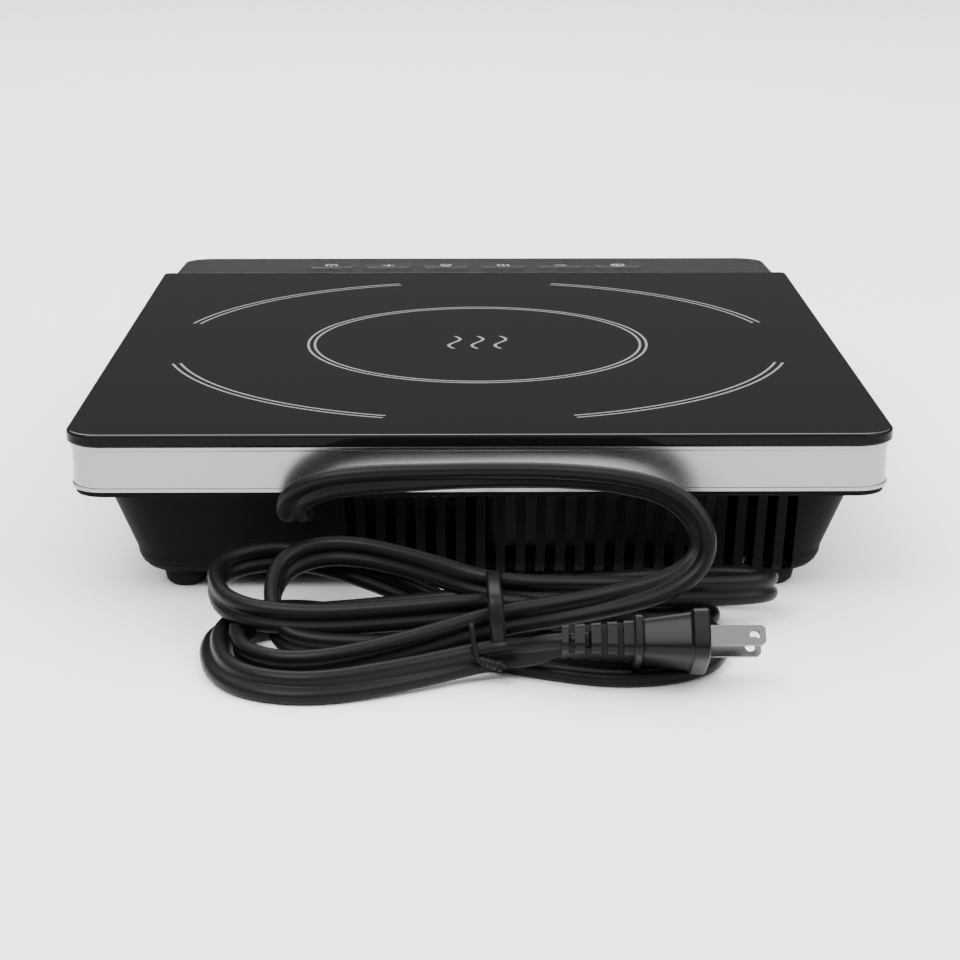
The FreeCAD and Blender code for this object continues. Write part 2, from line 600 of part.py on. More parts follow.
def bottomHousing():
    body = newBody("bottom_housing")
    tubLoft(body, "dim.footHeight", "dim.tubEdge", "0 * dim.tubWall", "PartDesign::AdditiveLoft")
    doc.recompute()
    solidVolume = body.Shape.Volume
    tubLoft(body, tubFloor, "(dim.tubEdge - dim.tubWall)", "dim.tubWall", "PartDesign::SubtractiveLoft")
    doc.recompute()
    if not 0 < body.Shape.Volume < solidVolume / 2:
        raise RuntimeError("bottom_housing: the tub is not hollow")
    drawing = sketch(body, tubRimBottom)
    slab(drawing, f"({bandHalfX} - dim.rimInset)", f"({bandHalfY} - dim.rimInset)",
         "dim.bandCorner - dim.rimInset")
    tubOutline(drawing, "dim.tubInsetTop", "dim.tubWall")
    pad(body, drawing, "dim.rimThick")
    # tongue that stands inside the band's foot
    tongue = "(dim.beadProud + dim.bandWall + dim.lipDepth + dim.frameClear)"
    drawing = sketch(body, bandBottom)
    bandOutline(drawing, tongue)
    bandOutline(drawing, f"({tongue} + dim.frameWall * 0.8)")
    pad(body, drawing, "dim.tongueHeight")
    # towers and stands on the floor
    towerLevel = f"({tubFloor} - dim.tubWall / 2)"
    discs(body, towerLevel, casePlaces, "dim.bossDiameter", f"{frameBottom} - {towerLevel}")
    discs(body, towerLevel, footPlaces, "dim.bossDiameter", "dim.tubWall / 2 + dim.powerStand")
    discs(body, towerLevel, boardPlaces, "dim.bossDiameter * 0.8", "dim.tubWall / 2 + dim.powerStand")
    discs(body, towerLevel, fanPlaces, "dim.bossDiameter", "dim.tubWall / 2 + dim.fanStand")
    discs(body, towerLevel, clampPlaces, "dim.bossDiameter * 0.8",
          f"dim.tubWall / 2 + dim.powerStand * 0.6")
    # holes for the screws, from below
    discs(body, "0", casePlaces, "dim.screwDiameter", "dim.bodyHeight", reverse=True, cut=True)
    discs(body, "0", casePlaces, "dim.headDiameter + 1", f"{caseSeat}", reverse=True, cut=True)
    discs(body, "0", footPlaces, "dim.screwDiameter", footScrewTop, reverse=True, cut=True)
    top = f"({tubFloor} + dim.powerStand)"
    discs(body, top, boardPlaces, "dim.screwDiameter", "dim.powerStand", cut=True)
    discs(body, fanBottom, fanPlaces, "dim.screwDiameter", "dim.fanStand + dim.tubWall * 0.6", cut=True)
    discs(body, f"{tubFloor} + dim.powerStand * 0.6", clampPlaces, "dim.screwDiameter",
          "dim.powerStand * 0.5",
          cut=True)
    # vent slots through the back wall, wrapping under the floor
    drawing = sketch(body, plane="XZ_Plane", level="-dim.bodyDepth / 2")
    slotRadius = "dim.slotWidth * 0.3"
    roundRect(drawing, "dim.slotFirst - dim.slotWidth / 2", "-dim.footHeight",
              "dim.slotFirst + dim.slotWidth / 2", f"{tubRimBottom} - dim.rimThick / 2", slotRadius)
    slot = pocket(body, drawing, "dim.overhang + dim.tubInsetBottom + dim.tubEdge + dim.slotWrap",
                  reverse=True)
    doc.recompute()
    before = body.Shape.Volume
    row = spread(body, slot, "X_Axis", "(dim.slotCount - 1) * dim.slotPitch", "dim.slotCount")
    row.Reversed = True
    doc.recompute()
    if before - body.Shape.Volume < 1000:
        raise RuntimeError("bottom_housing: the vent row is missing")
    # bush opening
    drawing = sketch(body, plane="XZ_Plane", level="-dim.bodyDepth / 2")
    roundRect(drawing, f"dim.bushX - {neckHalfX}", f"dim.bushZ - {neckHalfZ}", f"dim.bushX + {neckHalfX}",
              f"dim.bushZ + {neckHalfZ}", f"{neckHalfZ} * 0.9")
    pocket(body, drawing, "dim.overhang + dim.tubInsetBottom + dim.tubWall", reverse=True)
    # fan grille in the floor
    drawing = sketch(body, "0")
    reach = f"({fanBore} / 2 - dim.grillePitch)"
    for start, stop in ((f"-{reach}", "-dim.grilleSlot"), ("dim.grilleSlot", reach)):
        left = "dim.fanX - 5 * dim.grillePitch - dim.grilleSlot / 2"
        roundRect(drawing, left, f"{fanY} + {start}", f"{left} + dim.grilleSlot", f"{fanY} + {stop}",
                  "dim.grilleSlot * 0.4")
    slot = pocket(body, drawing, f"{tubFloor} + 0.2", reverse=True)
    spread(body, slot, "X_Axis", "10 * dim.grillePitch", "11")


def feet():
    profile = [("0", "0"), ("dim.footDiameter * 0.34", "0"),
               ("dim.footDiameter * 0.46", "dim.footHeight * 0.22"),
               ("dim.footDiameter / 2", "dim.footHeight * 0.62"),
               ("dim.footDiameter / 2", "dim.footHeight"),
               ("0", "dim.footHeight")]
    for label, x, y in (("foot_back_left", "-dim.footX", footY),
                        ("foot_back_right", "dim.footX", footY),
                        ("foot_front_left", "-dim.footX", f"-{footY}"),
                        ("foot_front_right", "dim.footX", f"-{footY}")):
        body = newBody(label, x, y)
        drawing = sketch(body, plane="XZ_Plane")
        outline(drawing, profile)
        turn(body, drawing)
        inner = value("dim.footDiameter * 0.3")
        high = value("dim.footHeight * 0.7")

        def shoulder(edge):
            box = edge.BoundBox
            return 0.1 < box.ZMin and box.ZMax < high and box.XMax > inner
        roundEdges(body, shoulder, "dim.footHeight * 0.3")
        discs(body, "0", [("0", "0")], "dim.headDiameter + 0.4", footSeat, reverse=True, cut=True)
        discs(body, "0", [("0", "0")], "dim.screwDiameter", "dim.footHeight", reverse=True, cut=True)


def caseScrews():
    screws("case_screws", casePlaces, caseSeat, f"{frameBottom} + dim.tongueHeight * 2 - {caseSeat}", True)
    screws("foot_screws", footPlaces, footSeat, f"{footScrewTop} - {footSeat}", True)


# ---- control panel -------------------------------------------------------------------------

keyNames = ["timer", "minus", "mode", "lock", "plus", "power"]
postPlaces = [(f"{a} * (dim.boardWidth / 2 - 5)", f"-dim.boardBack - {b}")
              for a in (-1, 1) for b in ("5", "(dim.boardDepth - 5)")]
lampPlaces = [(f"{i - 2.5} * dim.keyPitch", "-dim.keySeat + dim.keyDepth") for i in range(6)]


def keyX(index):
    return f"{index - 2.5} * dim.keyPitch"


def controlFascia():
    body = panelBody("control_fascia")
    drawing = sketch(body, "-dim.panelThick")
    front = "(dim.panelGap + 0.1)"
    roundRect(drawing, "-dim.panelWidth / 2", f"-{panelLength}", "dim.panelWidth / 2", f"-{front}",
              "dim.panelCorner",
              "dim.plateFrontRadius / 2")
    pad(body, drawing, "dim.panelThick")
    roundEdges(body, lambda edge: edge.BoundBox.ZMin > -0.01 and edge.BoundBox.YMin < -1,
               "dim.panelThick * 0.55")
    discs(body, "-dim.panelThick / 2", postPlaces, "dim.screwDiameter * 2",
          "dim.boardDrop - dim.panelThick / 2",
          reverse=True)
    discs(body, "-dim.boardDrop", postPlaces, "dim.screwDiameter", "dim.boardDrop * 0.6", reverse=True,
          cut=True)
    drawing = sketch(body, "-dim.panelThick - 1")
    roundRect(drawing, "-dim.windowWidth / 2", "-dim.windowSeat - dim.windowDepth / 2",
              "dim.windowWidth / 2",
              "-dim.windowSeat + dim.windowDepth / 2", "dim.keyRadius")
    for index in range(6):
        half = "(dim.keyWidth / 2 + dim.keyClear)"
        deep = "(dim.keyDepth / 2 + dim.keyClear)"
        roundRect(drawing, f"{keyX(index)} - {half}", f"-dim.keySeat - {deep}", f"{keyX(index)} + {half}",
                  f"-dim.keySeat + {deep}", "dim.keyRadius + dim.keyClear")
    for x, y in lampPlaces:
        circle(drawing, x, y, "2")
    pocket(body, drawing, "dim.panelThick + 2", reverse=True)


def displayWindow():
    body = panelBody("display_window")
    top = "0.15"
    drawing = sketch(body, f"-{top}")
    halfX = "(dim.windowWidth / 2 - dim.windowClear)"
    halfY = "(dim.windowDepth / 2 - dim.windowClear)"
    roundRect(drawing, f"-{halfX}", f"-dim.windowSeat - {halfY}", halfX, f"-dim.windowSeat + {halfY}",
              "dim.keyRadius - dim.windowClear")
    pad(body, drawing, f"dim.panelThick - {top}", reverse=True)
    drawing = sketch(body, "-dim.panelThick")
    roundRect(drawing, f"-{halfX} - 1.5", f"-dim.windowSeat - {halfY} - 1.5", f"{halfX} + 1.5",
              f"-dim.windowSeat + {halfY} + 1.5", "dim.keyRadius")
    pad(body, drawing, "1", reverse=True)


def keys():
    for index, name in enumerate(keyNames):
        body = panelBody(f"key_{name}")
        x = keyX(index)
        drawing = sketch(body, "dim.keyProud")
        roundRect(drawing, f"{x} - dim.keyWidth / 2", "-dim.keySeat - dim.keyDepth / 2",
                  f"{x} + dim.keyWidth / 2",
                  "-dim.keySeat + dim.keyDepth / 2", "dim.keyRadius")
        pad(body, drawing, f"dim.keyProud + {keyFlangeTop}", reverse=True)
        roundEdges(body, levelEdge(value("dim.keyProud")), "dim.keyProud * 0.8")
        drawing = sketch(body, f"-{keyFlangeTop}")
        roundRect(drawing, f"{x} - dim.keyWidth / 2 - dim.keyFlange",
                  "-dim.keySeat - dim.keyDepth / 2 - dim.keyFlange",
                  f"{x} + dim.keyWidth / 2 + dim.keyFlange",
                  "-dim.keySeat + dim.keyDepth / 2 + dim.keyFlange",
                  "dim.keyRadius")
        pad(body, drawing, "dim.keyFlange", reverse=True)
        discs(body, f"-{keyFlangeTop} - dim.keyFlange / 2", [(x, "-dim.keySeat")], "dim.stemDiameter",
              f"dim.boardDrop - dim.switchHeight * 0.65 - {keyFlangeTop} - dim.keyFlange / 2", reverse=True)


keyFlangeTop = "(dim.panelThick + 0.3)"


def controlBoard():
    body = panelBody("control_board")
    drawing = sketch(body, "-dim.boardDrop - dim.boardThick")
    rectangle(drawing, "-dim.boardWidth / 2", "-dim.boardBack - dim.boardDepth", "dim.boardWidth / 2",
              "-dim.boardBack")
    for x, y in postPlaces:
        circle(drawing, x, y, "dim.screwDiameter")
    pad(body, drawing, "dim.boardThick")

    body = panelBody("tact_switches")
    drawing = sketch(body, "-dim.boardDrop")
    for index in range(6):
        x = keyX(index)
        rectangle(drawing, f"{x} - dim.switchSide / 2", "-dim.keySeat - dim.switchSide / 2",
                  f"{x} + dim.switchSide / 2", "-dim.keySeat + dim.switchSide / 2")
    pad(body, drawing, "dim.switchHeight")
    discs(body, "-dim.boardDrop + dim.switchHeight", [(keyX(i), "-dim.keySeat") for i in range(6)],
          "dim.stemDiameter + 2 * dim.stemClear", "dim.switchHeight * 0.6", cut=True)

    body = panelBody("led_display")
    drawing = sketch(body, "-dim.boardDrop")
    rectangle(drawing, "-dim.windowWidth * 0.42", "-dim.windowSeat - dim.windowDepth * 0.4",
              "dim.windowWidth * 0.42",
              "-dim.windowSeat + dim.windowDepth * 0.4")
    pad(body, drawing, "dim.boardDrop - dim.panelThick - 1.4")

    body = panelBody("indicator_leds")
    discs(body, "-dim.boardDrop", lampPlaces, "3", "dim.boardDrop - dim.panelThick - 0.6")
    roundEdges(body, lambda edge: edge.BoundBox.ZMin > value("-dim.panelThick - 0.7"), "1.2")

    body = panelBody("panel_screws")
    screws("panel_screws", postPlaces, "-dim.boardDrop - dim.boardThick",
           "dim.boardThick + dim.boardDrop * 0.5",
           True, body=body)


# ---- coil ----------------------------------------------------------------------------------

def coil():
    body = newBody("coil_former", "0", zoneY, formerBottom)
    drawing = sketch(body)
    circle(drawing, "0", "0", "dim.formerDiameter")
    circle(drawing, "0", "0", "dim.coilInner * 0.5")
    pad(body, drawing, "dim.formerThick")
    ears = [("dim.earRadius", "0"), ("-dim.earRadius", "0"), ("0", "dim.earRadius"),
            ("0", "-dim.earRadius")]
    drawing = sketch(body)
    armHalf = "(dim.bossDiameter / 2)"
    inside = "(dim.formerDiameter / 2 - 4)"
    tip = "(dim.earRadius + dim.bossDiameter * 0.55)"
    rectangle(drawing, inside, f"-{armHalf}", tip, armHalf)
    ear = pad(body, drawing, "dim.formerThick")
    ringOf(body, ear, "4")
    discs(body, "0", ears, "dim.screwDiameter", "dim.formerThick", reverse=True, cut=True)
    # windows between the ferrite seats
    drawing = sketch(body)
    turnAngle = "(180 / dim.ferriteCount)"
    spokes = []
    for radius, side in ((0.42, -1), (0.84, -1), (0.84, 1), (0.42, 1)):
        swing = f"({turnAngle} + {side * 9})"
        spokes.append((f"dim.formerDiameter / 2 * {radius} * cos({swing})",
                       f"dim.formerDiameter / 2 * {radius} * sin({swing})"))
    outline(drawing, spokes)
    window = pocket(body, drawing, "dim.formerThick", reverse=True)
    ringOf(body, window, "dim.ferriteCount")
    # ribs beside each ferrite bar
    drawing = sketch(body)
    rib = "(dim.ferriteWidth / 2 + 0.2)"
    begin = "(dim.coilInner / 2 + 8)"
    rectangle(drawing, begin, rib, f"{begin} + dim.ferriteLength * 0.8", f"{rib} + 1.4")
    rectangle(drawing, begin, f"-{rib} - 1.4", f"{begin} + dim.ferriteLength * 0.8", f"-{rib}")
    ribs = pad(body, drawing, "dim.ferriteThick * 0.7", reverse=True)
    ringOf(body, ribs, "dim.ferriteCount")

    body = newBody("ferrite_bars", "0", zoneY, formerBottom)
    drawing = sketch(body)
    rectangle(drawing, "dim.coilInner / 2 + 6", "-dim.ferriteWidth / 2",
              "dim.coilInner / 2 + 6 + dim.ferriteLength",
              "dim.ferriteWidth / 2")
    bar = pad(body, drawing, "dim.ferriteThick", reverse=True)
    ringOf(body, bar, "dim.ferriteCount")

    body = newBody("coil_winding", "0", zoneY, windingBottom)
    drawing = sketch(body)
    circle(drawing, "0", "0", "dim.coilDiameter")
    circle(drawing, "0", "0", "dim.coilInner")
    pad(body, drawing, "dim.coilThick")
    turns = 12
    drawing = sketch(body, plane="XZ_Plane")
    for i in range(1, turns):
        groove = f"(dim.coilInner / 2 + (dim.coilDiameter - dim.coilInner) / 2 * {i} / {turns})"
        outline(drawing, [(f"{groove} - 0.9", "dim.coilThick + 0.2"), (groove, "dim.coilThick * 0.55"),
                          (f"{groove} + 0.9", "dim.coilThick + 0.2")])
    turn(body, drawing, "PartDesign::Groove")

    body = newBody("mica_sheet", "0", zoneY, windingTop)
    drawing = sketch(body)
    circle(drawing, "0", "0", "dim.formerDiameter - 2")
    circle(drawing, "0", "0", "dim.coilInner * 0.46")
    pad(body, drawing, "dim.micaThick")

    body = newBody("sensor_cap", "0", zoneY, windingTop)
    discs(body, "0", [("0", "0")], "dim.coilInner * 0.34", "dim.coilGap")
    discs(body, "dim.coilGap * 0.4", [("0", "0")], "dim.coilInner * 0.2", "dim.coilGap", cut=True)
    body = newBody("coil_sensor", "0", zoneY, windingTop)
    discs(body, "dim.coilGap * 0.4", [("0", "0")], "dim.coilInner * 0.12",
          "dim.coilThick + dim.coilGap * 0.4",
          reverse=True)
    screws("coil_screws", coilPlaces, formerBottom, "dim.formerThick + dim.coilThick * 0.55", True)


# ---- fan -----------------------------------------------------------------------------------

def fan():
    here = ("dim.fanX", fanY, fanBottom)
    body = newBody("fan_frame", *here)
    half = "(dim.fanSide / 2)"
    corner = "(dim.fanSide * 0.05)"
    drawing = sketch(body)
    slab(drawing, half, half, corner)
    circle(drawing, "0", "0", fanBore)
    for x, y in corners(fanScrewHalf, fanScrewHalf):
        circle(drawing, x, y, "dim.screwDiameter")
    pad(body, drawing, "dim.fanThick")
    drawing = sketch(body)
    circle(drawing, "0", "0", "dim.hubDiameter")
    circle(drawing, "0", "0", "dim.shaftDiameter * 2")
    pad(body, drawing, "dim.hubWall")
    drawing = sketch(body)
    rectangle(drawing, "dim.hubDiameter / 2 - 1", "-1.6", f"{fanBore} / 2 + 1", "1.6")
    arm = pad(body, drawing, "dim.hubWall")
    ringOf(body, arm, "3")
    drawing = sketch(body, "dim.hubWall / 2")
    circle(drawing, "0", "0", "dim.shaftDiameter * 2 + 3")
    circle(drawing, "0", "0", "dim.shaftDiameter * 2")
    pad(body, drawing, "dim.fanThick * 0.6")

    body = newBody("fan_bearing", *here)
    drawing = sketch(body)
    circle(drawing, "0", "0", "dim.shaftDiameter * 2")
    circle(drawing, "0", "0", "dim.shaftDiameter + 2 * dim.shaftClear")
    pad(body, drawing, "dim.hubWall / 2 + dim.fanThick * 0.6")

    body = newBody("fan_motor", *here)
    drawing = sketch(body, "dim.hubWall")
    circle(drawing, "0", "0", "dim.hubDiameter - 2 * dim.hubWall - 4")
    circle(drawing, "0", "0", "dim.shaftDiameter * 2 + 3")
    pad(body, drawing, "dim.fanThick * 0.5")
    drawing = sketch(body, "dim.hubWall + 1.5")
    outline(drawing, [("dim.hubDiameter * 0.24", "-dim.hubDiameter * 0.05"),
                      ("dim.hubDiameter * 0.6", "-dim.hubDiameter * 0.05"),
                      ("dim.hubDiameter * 0.6", "dim.hubDiameter * 0.05"),
                      ("dim.hubDiameter * 0.24", "dim.hubDiameter * 0.05")])
    notch = pocket(body, drawing, "dim.fanThick * 0.5", reverse=True)
    ringOf(body, notch, "4")

    body = newBody("fan_shaft", *here)
    discs(body, "0.4", [("0", "0")], "dim.shaftDiameter", f"{hubTop} - 0.4")

    body = newBody("fan_rotor", *here)
    drawing = sketch(body, plane="XZ_Plane")
    skirt = "(dim.hubWall + 1)"
    outer = "(dim.hubDiameter / 2)"
    inner = "(dim.hubDiameter / 2 - dim.hubWall)"
    outline(drawing, [("dim.shaftDiameter / 2", hubTop), (outer, hubTop), (outer, skirt), (inner, skirt),
                      (inner, f"{hubTop} - dim.hubWall"), ("dim.shaftDiameter / 2",
                                                           f"{hubTop} - dim.hubWall")])
    turn(body, drawing)
    rise = f"(({hubTop} + {skirt}) / 2)"
    sections = []
    for level, sweep, climb in (("dim.hubDiameter / 2 - dim.hubWall * 0.6", 7.5, 6.0),
                                (f"sqrt(({fanBore} / 2 - dim.bladeGap)^2 - 13^2)", 12.5, 4.4)):
        drawing = sketch(body, level, "YZ_Plane")
        outline(drawing, [(f"-{sweep}", f"{rise} - {climb}"),
                          (f"-{sweep} + 1.3", f"{rise} - {climb} - 0.4"),
                          (f"{sweep}", f"{rise} + {climb}"), (f"{sweep} - 1.3", f"{rise} + {climb} + 0.4")])
        sections.append(drawing)
    blade = loft(body, sections)
    ringOf(body, blade, "dim.bladeCount")

    screws("fan_screws", fanPlaces, f"({fanBottom} + dim.fanThick)", "dim.fanThick + dim.fanStand", False)


hubTop = "(dim.fanThick - 1)"


# ---- power board ---------------------------------------------------------------------------

def powerBoard():
    boardBottom = f"({tubFloor} + dim.powerStand)"
    body = newBody("power_board", z=boardBottom)
    drawing = sketch(body)
    rectangle(drawing, "dim.powerX0", powerY, "dim.powerX0 + dim.powerWidth", f"{powerY} + dim.powerDepth")
    for x, y in boardPlaces:
        circle(drawing, x, y, "dim.screwDiameter")
    pad(body, drawing, "dim.boardThick")
    screws("board_screws", boardPlaces, powerTop, "dim.boardThick + dim.powerStand * 0.9", False)

    body = newBody("heat_sink", sinkX, sinkY, powerTop)
    drawing = sketch(body)
    rectangle(drawing, "0", "0", "dim.sinkWidth", "dim.sinkDepth")
    pad(body, drawing, "dim.sinkBase")
    drawing = sketch(body)
    rectangle(drawing, "dim.sinkWidth - dim.sinkBase", "0", "dim.sinkWidth", "dim.sinkDepth")
    pad(body, drawing, "dim.sinkHeight")
    drawing = sketch(body, "dim.sinkBase * 0.8")
    rectangle(drawing, "0", "0", "dim.finThick", "dim.sinkDepth")
    fin = pad(body, drawing, "dim.sinkHeight - dim.sinkBase * 0.8")
    spread(body, fin, "X_Axis", "dim.sinkWidth - dim.sinkBase * 2", "dim.finCount")

    side = f"({sinkX} + dim.sinkWidth)"
    for label, width, thick, y, legs in (
            ("power_transistor", "dim.transistorWidth", "dim.transistorThick", "dim.transistorY",
             ("0.15", "0.5", "0.85")),
            ("bridge_rectifier", "dim.rectifierWidth", "dim.rectifierThick", "dim.rectifierY",
             ("0.17", "0.42", "0.58", "0.83"))):
        body = newBody(label, side, f"{sinkY} + {y}", powerTop)
        drawing = sketch(body, "dim.legStand")
        rectangle(drawing, "0", "0", thick, width)
        pad(body, drawing, "dim.deviceHeight")
        drawing = sketch(body)
        for share in legs:
            rectangle(drawing, "dim.legThick * 3", f"{width} * {share} - dim.legThick",
                      "dim.legThick * 4", f"{width} * {share} + dim.legThick")
        pad(body, drawing, "dim.legStand * 1.3")

    body = newBody("device_screws", side, sinkY, powerTop)
    for y, width, thick in (("dim.transistorY", "dim.transistorWidth", "dim.transistorThick"),
                            ("dim.rectifierY", "dim.rectifierWidth", "dim.rectifierThick")):
        middle = f"({y} + {width} / 2)"
        drawing = sketch(body, thick, "YZ_Plane")
        circle(drawing, middle, "dim.deviceScrewZ", "dim.headDiameter")
        pad(body, drawing, "dim.headHeight")
        slot = sketch(body, f"{thick} + dim.headHeight", "YZ_Plane")
        rectangle(slot, f"{middle} - dim.headDiameter * 0.3", "dim.deviceScrewZ - dim.headDiameter * 0.07",
                  f"{middle} + dim.headDiameter * 0.3", "dim.deviceScrewZ + dim.headDiameter * 0.07")
        pocket(body, slot, "dim.headHeight / 2")

    for label, reach in (("resonant_capacitor", "dim.resonantReach"), ("filter_capacitor", "dim.filterReach")):
        body = newBody(label, "dim.capacitorX", f"{powerY} + {reach}", powerTop)
        drawing = sketch(body, "dim.legStand * 0.7")
        rectangle(drawing, "0", "0", "dim.capacitorWidth", "dim.capacitorDepth")
        pad(body, drawing, "dim.capacitorHeight")
        roundEdges(body, lambda edge: edge.BoundBox.ZMin > value("dim.legStand"), "1")
        middle = "dim.capacitorWidth / 2"
        discs(body, "0", [(middle, "dim.capacitorLeg"), (middle, "dim.capacitorDepth - dim.capacitorLeg")],
              "dim.legThick * 2", "dim.legStand")

    body = newBody("supply_choke", "dim.chokeX", f"{powerY} + dim.chokeReach", f"{powerTop} + dim.chokeStand")
    drawing = sketch(body, plane="XZ_Plane")
    circle(drawing, "dim.chokeRadius", "0", "dim.chokeRadius")
    turn(body, drawing)
    drawing = sketch(body, "-dim.chokeStand")
    for y in ("4", "-4"):
        circle(drawing, "dim.chokeRadius", y, "dim.legThick * 2.4")
    pad(body, drawing, "3")

    body = newBody("line_fuse", "dim.fuseX", f"{powerY} + dim.fuseReach", f"{powerTop} + dim.fuseStand")
    drawing = sketch(body, plane="XZ_Plane")
    circle(drawing, "0", "0", "dim.fuseDiameter")
    pad(body, drawing, "dim.fuseLength")
    for level in ("0", "dim.fuseLength - dim.fuseCapLength"):
        drawing = sketch(body, level, "XZ_Plane")
        circle(drawing, "0", "0", "dim.fuseCap")
        pad(body, drawing, "dim.fuseCapLength")
        drawing = sketch(body, level, "XZ_Plane")
        rectangle(drawing, "-dim.fuseCap * 0.2", "-dim.fuseStand", "dim.fuseCap * 0.2",
                  "-dim.fuseCap * 0.4")
        pad(body, drawing, "dim.fuseCapLength")

    body = newBody("buzzer", "dim.buzzerX", f"{powerY} + dim.buzzerReach", powerTop)
    discs(body, "0", [("0", "0")], "dim.buzzerDiameter", "dim.buzzerHeight")
    discs(body, "dim.buzzerHeight", [("0", "0")], "dim.buzzerDiameter * 0.2", "2", cut=True)


sinkX = "(dim.powerX0 + 5)"
sinkY = f"({powerY} + dim.powerDepth - dim.sinkDepth - 12)"


# ---- wires held inside ---------------------------------------------------------------------

def rounded(points):
    # Straight runs joined by arcs of 0.45 of the shorter run over the tangent of half the turn.
    bends = [Vector(*point) for point in points]
    edges = []
    radii = []
    start = bends[0]
    for i in range(1, len(bends) - 1):
        before = bends[i] - bends[i - 1]
        after = bends[i + 1] - bends[i]
        turnAngle = before.getAngle(after)
        shorter = min(before.Length, after.Length)
        reach = 0.45 * shorter
        radii.append(reach / math.tan(turnAngle / 2))
        begin = bends[i] - before.normalize() * reach
        end = bends[i] + after.normalize() * reach
        inward = (after - before).normalize()
        centre = bends[i] + inward * math.hypot(reach, radii[-1])
        middle = centre - inward * radii[-1]
        edges.append(Part.LineSegment(start, begin).toShape())
        edges.append(Part.Arc(begin, middle, end).toShape())
        start = end
    edges.append(Part.LineSegment(start, bends[-1]).toShape())
    return Part.Wire(edges), radii


def tubeShape(label, points, diameter):
    path, radii = rounded(points)
    heading = Vector(*points[1]) - Vector(*points[0])
    section = Part.Wire([Part.Circle(Vector(*points[0]), heading, diameter / 2).toShape()])
    shape = path.makePipeShell([section], True, False)
    wanted = math.pi * diameter ** 2 / 4 * path.Length
    if abs(shape.Volume - wanted) > 0.02 * wanted:
        raise RuntimeError(f"{label}: the tube's volume is {shape.Volume:.0f}, not {wanted:.0f}")
    print(f"{label}: length {path.Length:.0f}, radii", " ".join(f"{size:.0f}" for size in radii))
    return shape


def tube(label, points, diameter):
    piece = doc.addObject("Part::Feature", label)
    piece.Shape = tubeShape(label, points, diameter)
    return keep(piece, label)


leadDiameter = 2.4


def innerWires():
    zone = value(zoneY)
    low = value(powerTop)
    under = value(formerBottom)
    inner = [(18, zone - 14, under), (17.8, zone - 14.5, under - 6), (15, zone - 21, low + 22),
             (13, zone - 25, low + 9), (13, zone - 25.2, low)]
    outer = [(35, zone - 80, under), (35.3, zone - 79.6, under - 6), (43, zone - 69, low + 20),
             (54, zone - 54, low + 9), (54.2, zone - 53.8, low)]
    leads = []
    for name, points in (("inner", inner), ("outer", outer)):
        leads.append(tubeShape(f"coil lead, {name}", points, leadDiameter))
    piece = doc.addObject("Part::Feature", "coil_leads")
    piece.Shape = Part.makeCompound(leads)
    keep(piece, "coil_leads")


def ribbonCable():
    # Flat ribbon from the control board down to the power board.
    front = f"({panelBackY} - dim.boardBack - 12)"
    high = f"({panelBackZ} - dim.boardDrop - dim.boardThick - 1.1)"
    low = f"({powerTop} + 5)"
    land = f"({powerY} + 5)"
    body = newBody("ribbon_cable", "30")
    drawing = sketch(body, plane="YZ_Plane")
    thick = "dim.ribbonThick"
    outline(drawing, [(front, high), (front, f"{low} + 6"), (f"{front} + 6", low), (land, low),
                      (land, powerTop),
                      (f"{land} + {thick}", powerTop), (f"{land} + {thick}", f"{low} + {thick}"),
                      (f"{front} + 6", f"{low} + {thick}"), (f"{front} + {thick}", f"{low} + 6 + {thick}"),
                      (f"{front} + {thick}", high)])
    pad(body, drawing, "dim.ribbonWidth", middle=True)


# ---- cord ----------------------------------------------------------------------------------

wallY = f"({bandHalfY} - dim.tubInsetTop - ({tubRimBottom} - dim.bushZ) * {tubDraft})"


def cordBush():
    # Oblong bush: a neck in the back wall, a flange outside, a bore for the flat cord.
    body = newBody("cord_bush", "dim.bushX", wallY, "dim.bushZ")
    flangeFront = "1.6"
    parts = [("(dim.bushWidth / 2)", "(dim.bushHeight / 2)", f"-{flangeFront} - dim.bushFlange",
              "dim.bushFlange"),
             (f"({neckHalfX} - dim.bushClear)", f"({neckHalfZ} - dim.bushClear)", f"-{flangeFront} - 1",
              f"{flangeFront} + dim.tubWall + 9")]
    for halfX, halfZ, level, length in parts:
        drawing = sketch(body, level, "XZ_Plane")
        roundRect(drawing, f"-{halfX}", f"-{halfZ}", halfX, halfZ, f"{halfZ} * 0.88")
        pad(body, drawing, length)
    roundEdges(body, lambda edge: edge.BoundBox.YMin > value(f"{flangeFront} + dim.bushFlange") - 0.01, "0.8")
    drawing = sketch(body, "-20", "XZ_Plane")
    roundRect(drawing, "-dim.cordWidth / 2", "-dim.cordThick / 2", "dim.cordWidth / 2", "dim.cordThick / 2",
              "dim.cordThick * 0.45")
    pocket(body, drawing, "60", reverse=True)


def cordClamp():
    body = newBody("cord_clamp", "dim.bushX", clampY, f"{tubFloor} + dim.powerStand * 0.6")
    drawing = sketch(body)
    roundRect(drawing, "-15", "-4.5", "15", "4.5", "3")
    for side in ("-11", "11"):
        circle(drawing, side, "0", "dim.screwDiameter")
    pad(body, drawing, "8")
    drawing = sketch(body, plane="XZ_Plane", level="-10")
    roundRect(drawing, "-dim.cordWidth / 2 - 0.2", "-3", "dim.cordWidth / 2 + 0.2", "dim.cordThick", "0.1")
    pocket(body, drawing, "20", reverse=True)
    drawing = sketch(body, plane="XY_Plane", level="8")
    rectangle(drawing, "-16", "-6", "-7", "6")
    rectangle(drawing, "7", "-6", "16", "6")
    pocket(body, drawing, "4")
    screws("clamp_screws", clampPlaces, f"({tubFloor} + dim.powerStand * 0.6 + 4)",
           "4 + dim.powerStand * 0.4", False)


